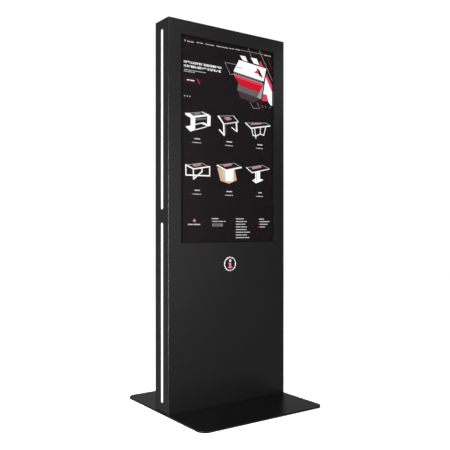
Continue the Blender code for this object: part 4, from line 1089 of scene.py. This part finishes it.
def add_blade(bm, centre, foot, depth, start):
    """One swept and twisted blade of the fan, which starts at this angle about its axis."""
    hub, tip, rows, columns, thick = 15.4, 36.3, 7, 9, 1.3
    points = {}
    for row in range(rows):
        share = row / (rows - 1)
        radius = hub + (tip - hub) * share
        pitch, chord, sweep = math.radians(50 - 20 * share), 13 + 13 * share, math.radians(-16 * share)
        for column in range(columns):
            along = column / (columns - 1) - 0.5
            camber = 2.0 * (1 - 4 * along * along)
            around = (along * chord * math.cos(pitch)) / radius + sweep + start
            height = depth / 2 + along * chord * math.sin(pitch) + camber * math.cos(pitch) - 0.5
            half = thick * (0.5 - 0.32 * abs(2 * along) ** 3)
            for face in SIDES:
                level = min(max(height + face * half, 0.6), depth - 0.6)
                x, z = centre.x + radius * math.cos(around), centre.z + radius * math.sin(around)
                points[row, column, face] = bm.verts.new(Vector((x, foot + level, z)) * MM)
    for row in range(rows - 1):
        for column in range(columns - 1):
            for face in SIDES:
                corners = ((0, 0), (0, 1), (1, 1), (1, 0))
                bm.faces.new([points[row + a, column + b, face] for a, b in corners])
    rim = [(row, 0) for row in range(rows)] + [(rows - 1, column) for column in range(1, columns)]
    rim += [(row, columns - 1) for row in range(rows - 2, -1, -1)]
    rim += [(0, column) for column in range(columns - 2, -1, -1)]
    for first, second in zip(rim, rim[1:]):
        bm.faces.new([points[(*first, -1)], points[(*second, -1)], points[(*second, 1)], points[(*first, 1)]])


def add_rotor():
    """The hub, its seven blades and its label. They take the place of the frame's plain rotor."""
    low, high = node_box("fan_rotor")
    centre, depth, hub, blades = (low + high) / 2, high.y - low.y, 16, 7
    axle = (centre.x, low.y, centre.z)
    rotor = Piece("fan_blades", PLASTIC, "fan_blades")
    rotor.turn([(0, 0), (hub - 2, 0), (hub, 2), (hub, depth), (hub - 2, depth), (hub - 2, 3), (0, 3)],
               axle, Y_AXIS, 40)
    for blade in range(blades):
        add_blade(rotor.bm, centre, low.y, depth, FULL_TURN * blade / blades)
    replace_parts(rotor.done(0.15, 50.0), "fan_rotor")
    Piece("fan_label", ANODISED, "fan_blades").disc(11, 0.1, axle, -Y_AXIS, 36).done()
    return centre


def add_fan():
    """The rotor, the guard over it, the screws through the corners, and the lead."""
    centre = add_rotor()
    low = node_box("fan_frame")[0]
    guard, wire, corner = Piece("fan_guard", CHROME, UPPER), 0.9, 35.75
    middle = Vector((centre.x, low.y - wire, centre.z))
    for radius in (12, 21, 30, 38.5):
        guard.tube(circle(middle, radius, X_AXIS, Z_AXIS, 48), wire, 8, True)
    corners = grid((centre.x - corner, centre.x + corner), low.y, (centre.z - corner, centre.z + corner))
    washers = Piece("fan_washers", CHROME, UPPER)
    crossing = middle - Y_AXIS * 1.5 * wire
    for place in corners:
        out = Vector((place[0] - centre.x, 0, place[2] - centre.z)) / corner
        guard.tube([crossing + out.normalized() * 10.5, crossing + out * 33], wire, 8)
        washers.disc(4, 1, place, -Y_AXIS, 20)
    guard.done()
    washers.done()
    add_screws("fan_screws_inside", [(x, y - 1, z) for x, y, z in corners], 3.2, 1.8, -Y_AXIS, UPPER)
    add_screws("fan_screws_outside", [(x, BACK, z) for x, _, z in corners], 3.2, 1.4, body=UPPER)

    routes = [(
        (x, low.y + 12, low.z + 1), (x, low.y + 12, low.z - 6), (x - 6, SKIN - 5, low.z - 22),
        (x - 16, SKIN - 3, low.z - 50), (x - 18, SKIN - 3, low.z - 90), (x - 18, SKIN - 4, low.z - 112),
    ) for x in (centre.x - 31, centre.x - 29)]
    add_lead("fan_lead", 0.8, 8, *routes, body=UPPER)
    x, z = centre.x - 48, low.z - 112
    clip = Piece("fan_connector", SWITCH, UPPER)
    clip.box((x - 5, SKIN - 8, z - 14), (x + 5, SKIN - 1.5, z), 0.8, 2)
    clip.box((x - 8, SKIN - 1.6, z - 12), (x + 8, SKIN, z - 2), 0.6, 1)
    clip.box((x - 2, SKIN - 9, z - 11), (x + 2, SKIN - 7.5, z - 3)).done(0.2)


# ------------------------------------------------------------------ electronics

def add_plug(name, place, sign, width, depth, length):
    """A moulded plug on the upper (-1) or lower (1) end of an upright cable, with a ribbed relief."""
    x, y, near = place
    far = near + sign * length
    piece = Piece(name, PLASTIC)
    piece.box((x - width / 2, y - depth / 2, min(near, far)), (x + width / 2, y + depth / 2, max(near, far)),
              min(width, depth) * 0.18, 2)
    profile, ribs, step = [(0, 0)], 5, 3.4
    for rib in range(ribs):
        radius, start = 5.6 - 0.35 * rib, rib * step
        profile += [(radius, start), (radius, start + 2.2), (radius - 0.9, start + 2.4),
                    (radius - 0.9, start + 3.3)]
    piece.turn([*profile, (0, ribs * step)], (x, y, far - sign * 0.5), Z_AXIS * sign, 20).done(0.2)


def add_gland(name, place, direction, r=8.0):
    """A clamping gland where a cable enters a housing."""
    profile = [(0, 0), (1.1 * r, 0, 6), (1.1 * r, 4, 6), (0.85 * r, 4.3), (0.85 * r, 6), (r, 6.2, 6),
               (r, 11, 6), (0.75 * r, 14), (0.55 * r, 15), (0, 15)]
    Piece(name, PLASTIC).turn(profile, place, direction, 36).done(0.2)


def add_computer_ports(low, high):
    ports, holes = Piece("computer_ports", CHROME), Piece("computer_port_openings_painted_shade", DARK_PRINT_AND_HOLE_SHADE)
    middle, rim = (low.y + high.y) / 2, 0.9
    for x, width, height in ((18, 14.5, 6.5), (36, 14.5, 6.5), (64, 16, 13.5),
                             (140, 14.5, 6.5), (158, 14.5, 6.5), (180, 9, 9)):
        place, half = Vector((low.x + x, middle, high.z)), Vector((width / 2, height / 2, 0))
        ports.box(place - half, place + half + Z_AXIS * 0.7, 0.5, 2)
        half -= Vector((rim, rim, 0))
        # Painted shade: a thin dark slab in each port's mouth stands for its shaded inside.
        holes.box(place - half + Z_AXIS * 0.6, place + half + Z_AXIS * 0.8)
    ports.done()
    holes.done()


def add_computer_details():
    """Ports on the computer's top, ribs and a label on its cover, and its lamp and button's sign."""
    low, high = node_box("mini_computer")
    add_computer_ports(low, high)
    face = high.y
    ribs = Piece("computer_cover_ribs", GREY)
    for x in spread(low.x + 24, high.x - 60, 14):
        ribs.box((x - 1.6, face - 0.1, low.z + 50), (x + 1.6, face + 0.9, high.z - 28), 0.5)
    ribs.done()
    add_screws("computer_cover_screws", corner_places(low, high, face, 8), 2.6, 1.2)
    rows = [[(0, length)] for length in (44, 52, 36)]
    add_label("computer_label", (low.x + 60, low.z + 12), (low.x + 122, low.z + 38), face,
              low.x + 65, low.z + 34, 7, 2.6, rows)
    button = node_box("computer_power_button")
    centre = (button[0] + button[1]) / 2
    dome, lamp_place = [(0, 1.0), (0.9, 0.9), (1.4, 0.3), (1.4, 0), (0, 0)], (centre.x, face, centre.z - 13)
    Piece("computer_lamp", GREEN_LAMP).turn(dome, lamp_place, Y_AXIS, 16).done()
    sign = Piece("power_button_sign", DARK_PRINT_AND_HOLE_SHADE, "computer_button")
    centre.y = button[1].y
    angles = [math.radians(40 + 20 * step) for step in range(15)]
    sign.tube([centre + (X_AXIS * math.sin(a) + Z_AXIS * math.cos(a)) * 2.6 for a in angles], 0.3, 6)
    sign.tube([centre + Z_AXIS * 0.8, centre + Z_AXIS * 3.4], 0.3, 6).done()


def add_strip_details():
    """Each outlet gets its pin holes, drawn as flat dark discs of painted shade, and earth clips, and the
    strip its screws.
    """
    low, high = node_box("power_strip")
    middle, dish, outlets = (low.z + high.z) / 2, high.y - 3, 5
    holes, clips = Piece("outlet_holes_painted_shade", DARK_PRINT_AND_HOLE_SHADE), Piece("outlet_earth_clips", CHROME)
    for outlet in range(outlets):
        x = low.x + (high.x - low.x) / outlets * (outlet + 0.5)
        for side in SIDES:
            # Painted shade: a flat dark disc for each pin hole.
            holes.disc(2.4, 0.12, (x + side * 9.5, dish, middle), Y_AXIS, 20)
            z = middle + side * 15.5
            clips.box((x - 2.5, dish, z - 1.2), (x + 2.5, dish + 2.7, z + 1.2), 0.4, 0)
            bottom, top = sorted((z, z - side * 6))
            clips.box((x - 2.5, dish, bottom), (x + 2.5, dish + 0.6, top))
    holes.done()
    clips.done()
    add_screws("power_strip_screws", corner_places(low, high, high.y, 6), 2.2, 0.8)


def add_driver_details():
    """The end caps, screws and label of the lights' driver."""
    low, high = node_box("light_driver")
    for end, start, stop in (("left", low.x - 1, low.x + 14), ("right", high.x - 14, high.x + 1)):
        cap = Piece(f"light_driver_cap_{end}", PLASTIC)
        cap.box((start, low.y + 1, low.z - 1), (stop, high.y + 1, high.z + 1), 1.2).done()
    add_screws("light_driver_screws", corner_places(low, high, high.y + 1, 6.5, 7), 2.4, 0.9)
    rows = (((70, 110), (50, 64), (20, 44)), ((60, 118), (14, 52)), ((40, 104),), ((84, 116), (46, 76)))
    add_label("light_driver_label", (low.x + 26, low.z + 6), (high.x - 26, high.z - 6), high.y,
              low.x + 30, high.z - 11, 8, 3, rows)


def add_leads():
    """Thin leads: strip to computer, strip to driver, driver to both light bars, and the earth wire."""
    strip = node_box("power_strip")[1].z + 0.3
    computer_low, computer_high = node_box("mini_computer")
    driver_low, driver_high = node_box("light_driver")
    lane, middle = CABLE_LANE, (driver_low.z + driver_high.z) / 2
    under = computer_low.z
    add_lead("computer_lead", 2.4, 12, (
        (-100, lane, strip), (-100, lane, strip + 22), (-104, 8, strip + 50), (-92, 8, strip + 80),
        (-90, lane, under - 24), (-90, lane, under),
    ))
    add_plug("computer_lead_plug", (-90, lane, under), -1, 12, 10, 14)
    add_lead("driver_lead", 2.4, 12, (
        (60, lane, strip), (60, lane, strip + 30), (44, lane, strip + 90), (16, lane, strip + 150),
        (8, 1, strip + 180), (16, 0, middle), (driver_low.x - 1, 0, middle),
    ))
    bar, over = node_box("light_bar_right")[0].x, computer_high.z + 34
    add_lead("light_bar_leads", 1.8, 10, (
        (driver_high.x + 1, 0, middle), (driver_high.x + 22, 0, middle + 1), (290, 0, middle + 16),
        (304, 0, middle + 26), (bar, 0, middle + 28),
    ), (
        (driver_low.x - 1, 8, middle + 14), (18, 11, middle + 20), (6, 14, middle + 60),
        (-8, 14, over - 24), (-40, 14, over), (-140, 14, over + 3), (-236, 12, over),
        (-286, 4, over + 10), (-304, 0, over + 18), (-bar, 0, over + 19),
    ))
    low, high = node_box("power_inlet")
    stud, z = 150, (low.z + high.z) / 2
    add_stud("earth_stud", (stud, SKIN, z), ROOT, 15, 7, 2.6, 6.5)
    add_lead("earth_wire", 1.5, 10, (
        (low.x + 14, low.y + 1, z), (low.x + 12, low.y - 7, z + 1), (low.x - 6, low.y - 10, z + 3),
        (stud + 10, SKIN - 14, z + 2), (stud + 5, SKIN - 6, z),
    ), finish=EARTH)


def add_plugs():
    """The plugs and glands at the ends of the frame's three cables."""
    board = node_box("display_board_cover")[0].z
    for name, node, *size in (("display_power_plug", "display_power_cable", 24, 15, 26),
                              ("video_plug_display", "video_cable", 20, 11, 24)):
        top = cable_centre(node, board)
        add_plug(name, (top.x, top.y, board), -1, *size)
    top = node_box("mini_computer")[1].z
    foot = cable_centre("video_cable", top)
    add_plug("video_plug_computer", (foot.x, foot.y, top), 1, 20, 11, 22)
    end = node_box("display_power_cable")[0].z
    foot = cable_centre("display_power_cable", end)
    add_gland("display_power_gland", (foot.x, foot.y, end - 0.3), Z_AXIS)
    low, high = node_box("power_strip")
    add_gland("mains_gland", (high.x, CABLE_LANE, (low.z + high.z) / 2), X_AXIS)
    low, high = node_box("power_inlet")
    add_gland("inlet_boot", ((low.x + high.x) / 2, low.y, (low.z + high.z) / 2), -Y_AXIS, 7.0)


def add_ties():
    """Adhesive bases with a tie round each cable, on the lower display rail."""
    low, high = node_box("display_rail_lower")
    bases, straps = Piece("tie_bases", SWITCH), Piece("cable_ties", PLASTIC)
    height = (low.z + high.z) / 2
    for node in ("display_power_cable", "video_cable"):
        centre = cable_centre(node, height)
        bases.box((centre.x - 9, high.y, height - 9), (centre.x + 9, centre.y - 3.8, height + 9), 1, 1)
        loop = circle(centre, 4.3, X_AXIS, Y_AXIS, 28)
        for level in (-1.2, 0, 1.2):
            straps.tube([point + Z_AXIS * level for point in loop], 0.75, 6, True)
        head = Vector((centre.x + 5.4, centre.y, height))
        straps.box(head - Vector((1.6, 2.4, 2.6)), head + Vector((2.2, 2.4, 2.6)), 0.5, 2)
    bases.done(0.3)
    straps.done()


def add_display_details():
    """Beads, screws and a label on the back of the display, and holes in its board's cover, drawn as flat
    dark discs of painted shade.
    """
    low, high = node_box("backlight_tray")
    board_low, board_high = node_box("display_board_cover")
    rails = [node_box(f"display_rail_{name}") for name in ("lower", "upper")]
    (lower_low, lower_high), (upper_low, upper_high) = rails
    face, foot = high.y, low.z + 28
    beads = Piece("display_tray_beads", GREY)
    for start, end in ((foot, lower_low.z - 18), (lower_high.z + 18, upper_low.z - 18),
                       (upper_high.z + 18, high.z - 28)):
        for x in (-225, -180, -90, 0, 90, 180, 225):
            if not (start < board_low.z < end and abs(x) < 130):
                beads.box((x - 6, face - 0.4, start), (x + 6, face + 1.3, end), 1.2, 2, 3)
    beads.done(0.5)
    clear = [z for z in spread(low.z + 10, high.z - 10, 9)
             if not any(rail_low.z - 5 < z < rail_high.z + 5 for rail_low, rail_high in rails)]
    add_screws("display_tray_screws", grid((low.x + 8, high.x - 8), face, clear), 2.4, 1.0)
    rows = [[(0, length)] for length in (40, 48, 30, 44, 36)]
    add_label("display_label", (108, foot + 20), (168, foot + 64), face, 114, foot + 59, 8, 3, rows,
              (0.2, 0.15, 0.3))
    # Painted shade: the cover's perforations are flat dark discs, not holes.
    holes = Piece("board_cover_holes_painted_shade", DARK_PRINT_AND_HOLE_SHADE)
    for place in grid(spread(board_low.x + 40, board_high.x - 40, 14), board_high.y,
                      spread(board_high.z - 60, board_high.z - 22, 5)):
        holes.disc(2.6, 0.12, place, Y_AXIS, 12)
    holes.done()
    add_screws("board_cover_screws", corner_places(board_low, board_high, board_high.y, 10), 2.6, 1.2)


def add_upright_screws():
    """Screws through the display's rails and the component plate, into the uprights."""
    for name, edge, count in (("display_rail_lower", None, 2), ("display_rail_upper", None, 2),
                              ("component_plate", 24, 4)):
        low, high = node_box(name)
        edge = (high.z - low.z) / 2 - 10 if edge is None else edge
        heights = spread(low.z + edge, high.z - edge, count)
        places = grid((-RAIL_SCREW_X, RAIL_SCREW_X), low.y + 1.5, heights)
        add_screws(f"{name}_screws", places, 4.2, 2.4)


def add_lamp_strips():
    """A narrow board with a row of white lamps in each light bar."""
    for side, out in (("left", -1), ("right", 1)):
        low, high = node_box(f"light_bar_{side}")
        floor = (high.x if out < 0 else low.x) + out * 1.5
        near, far = sorted((floor, floor + out))
        board = Piece(f"lamp_board_{side}", WHITE_ACRYLIC)
        board.box((near, -6, low.z + 6), (far, 6, high.z - 6)).done()
        lamps = Piece(f"lamps_{side}", OPAL)
        near, far = sorted((floor + out, floor + out * 1.9))
        for z in spread(low.z + 14, high.z - 14, 56):
            lamps.box((near, -1.4, z - 1.75), (far, 1.4, z + 1.75))
        lamps.done()


for add_part in (add_hinge_screws, add_lock_details, add_inlet_details, add_rating_plate, add_rear_screws,
                 add_door_insides, add_fan, add_computer_details, add_strip_details, add_driver_details,
                 add_leads, add_plugs, add_ties, add_display_details, add_upright_screws, add_lamp_strips):
    add_part()


# ------------------------------------------------------------------ studio

def add_floor():
    """A pale floor. The camera sees it white, and the kiosk sees it dimmer, but for one bright spot."""
    bm = bmesh.new()
    bmesh.ops.create_grid(bm, x_segments=4, y_segments=4, size=9.0)
    mesh = bpy.data.meshes.new("studio_floor")
    bm.to_mesh(mesh)
    bm.free()
    floor = bpy.data.objects.new("studio_floor", mesh)
    bpy.context.scene.collection.objects.link(floor)
    material = bpy.data.materials.new("studio_floor")
    material.use_nodes = True
    graph = Graph(material.node_tree)
    graph.tree.nodes.clear()
    seen = graph.node("BsdfDiffuse")
    seen.inputs["Color"].default_value = (0.75, 0.75, 0.75, 1.0)
    base_glow = graph.node("Emission")
    base_glow.inputs["Strength"].default_value = FLOOR_GLOW
    both = graph.filled("AddShader", seen.outputs[0], base_glow.outputs[0])
    mirrored = graph.node("Emission")
    distance = graph.filled("VectorMath", graph.place(), BELOW_CORNER_LAMP, operation="DISTANCE")
    strength = graph.span(distance.outputs["Value"], 1.5, 0.2, FLOOR_IN_REFLECTIONS, FLOOR_BY_LAMP)
    graph.feed(mirrored.inputs["Strength"], strength)
    direct = graph.node("LightPath").outputs["Is Camera Ray"]
    choice = graph.filled("MixShader", direct, mirrored.outputs[0], both.outputs[0])
    graph.feed(graph.node("OutputMaterial").inputs["Surface"], choice.outputs[0])
    mesh.materials.append(material)


def set_world():
    """White behind the kiosk, and a dimmer room in what it reflects."""
    world = bpy.data.worlds.new("studio")
    bpy.context.scene.world = world
    world.use_nodes = True
    graph = Graph(world.node_tree)
    graph.tree.nodes.clear()
    room, backdrop = graph.node("Background"), graph.node("Background")
    room.inputs["Color"].default_value = (1.0, 1.0, 1.0, 1.0)
    backward = graph.parts(graph.node("TexCoord").outputs["Generated"])["Y"]
    rear = graph.span(backward, 0.0, 0.9, ROOM_LIGHT, ROOM_LIGHT + REAR_LIGHT)
    graph.feed(room.inputs["Strength"], rear)
    backdrop.inputs["Color"].default_value = (1.0, 1.0, 1.0, 1.0)
    backdrop.inputs["Strength"].default_value = BACKDROP
    direct = graph.node("LightPath").outputs["Is Camera Ray"]
    choice = graph.filled("MixShader", direct, room.outputs[0], backdrop.outputs[0])
    graph.feed(graph.node("OutputWorld").inputs["Surface"], choice.outputs[0])


def add_softbox(name, place, target, width, height, power):
    data = bpy.data.lights.new(name, "AREA")
    data.shape = "RECTANGLE"
    data.size, data.size_y = width, height
    data.energy = power
    light = bpy.data.objects.new(name, data)
    light.location = place
    light.rotation_euler = (Vector(target) - Vector(place)).to_track_quat("-Z", "Y").to_euler()
    light.visible_camera = False
    bpy.context.scene.collection.objects.link(light)


def add_camera():
    """At chest height, to the front left. It is level, so that upright lines stay parallel."""
    data = bpy.data.cameras.new("camera")
    data.lens = LENS_MM
    data.sensor_width = SENSOR_MM
    data.shift_y = UPWARD_SHIFT
    camera = bpy.data.objects.new("camera", data)
    camera.location = EYE
    camera.rotation_euler = (math.radians(90.0), 0.0, math.radians(-HEADING_DEG))
    bpy.context.scene.collection.objects.link(camera)
    bpy.context.scene.camera = camera


EYE, HEADING_DEG = (-1.725, -2.474, 0.843), 35.1
LENS_MM, SENSOR_MM, UPWARD_SHIFT = 50.06, 36.0, 0.00576
BACKDROP = 1.05             # what the camera sees behind the kiosk
FLOOR_GLOW = 0.90           # what the camera sees of the floor, besides its lit colour
FLOOR_IN_REFLECTIONS = 0.21
FLOOR_BY_LAMP = 1.2         # in reflections, near the point below the corner lamp
BELOW_CORNER_LAMP = (-1.5, -0.85, 0.0)
ROOM_LIGHT = 0.125          # the room in reflections
REAR_LIGHT = 0.06           # added behind the kiosk, which the base mirrors
add_floor()
set_world()
add_camera()
add_softbox("corner_softbox", (-1.42, -0.685, 0.81), (-0.33, -0.06, 0.81), 0.22, 1.58, 46.0)
add_softbox("front_softbox", (0.9, -3.9, 1.1), (0, 0, 1.0), 2.6, 2.1, 10.5)
add_softbox("top_softbox", (-0.3, -2.8, 3.4), (0, 0, 1.0), 2.0, 1.2, 60.0)
add_softbox("rear_softbox", (0.35, 2.9, 3.6), (0, 0, 1.0), 2.0, 1.4, 46.0)
add_softbox("right_softbox", (1.45, -0.95, 1.9), (0.2, -0.3, 0.8), 0.5, 0.5, 1.0)
bpy.context.scene.view_settings.view_transform = "Standard"
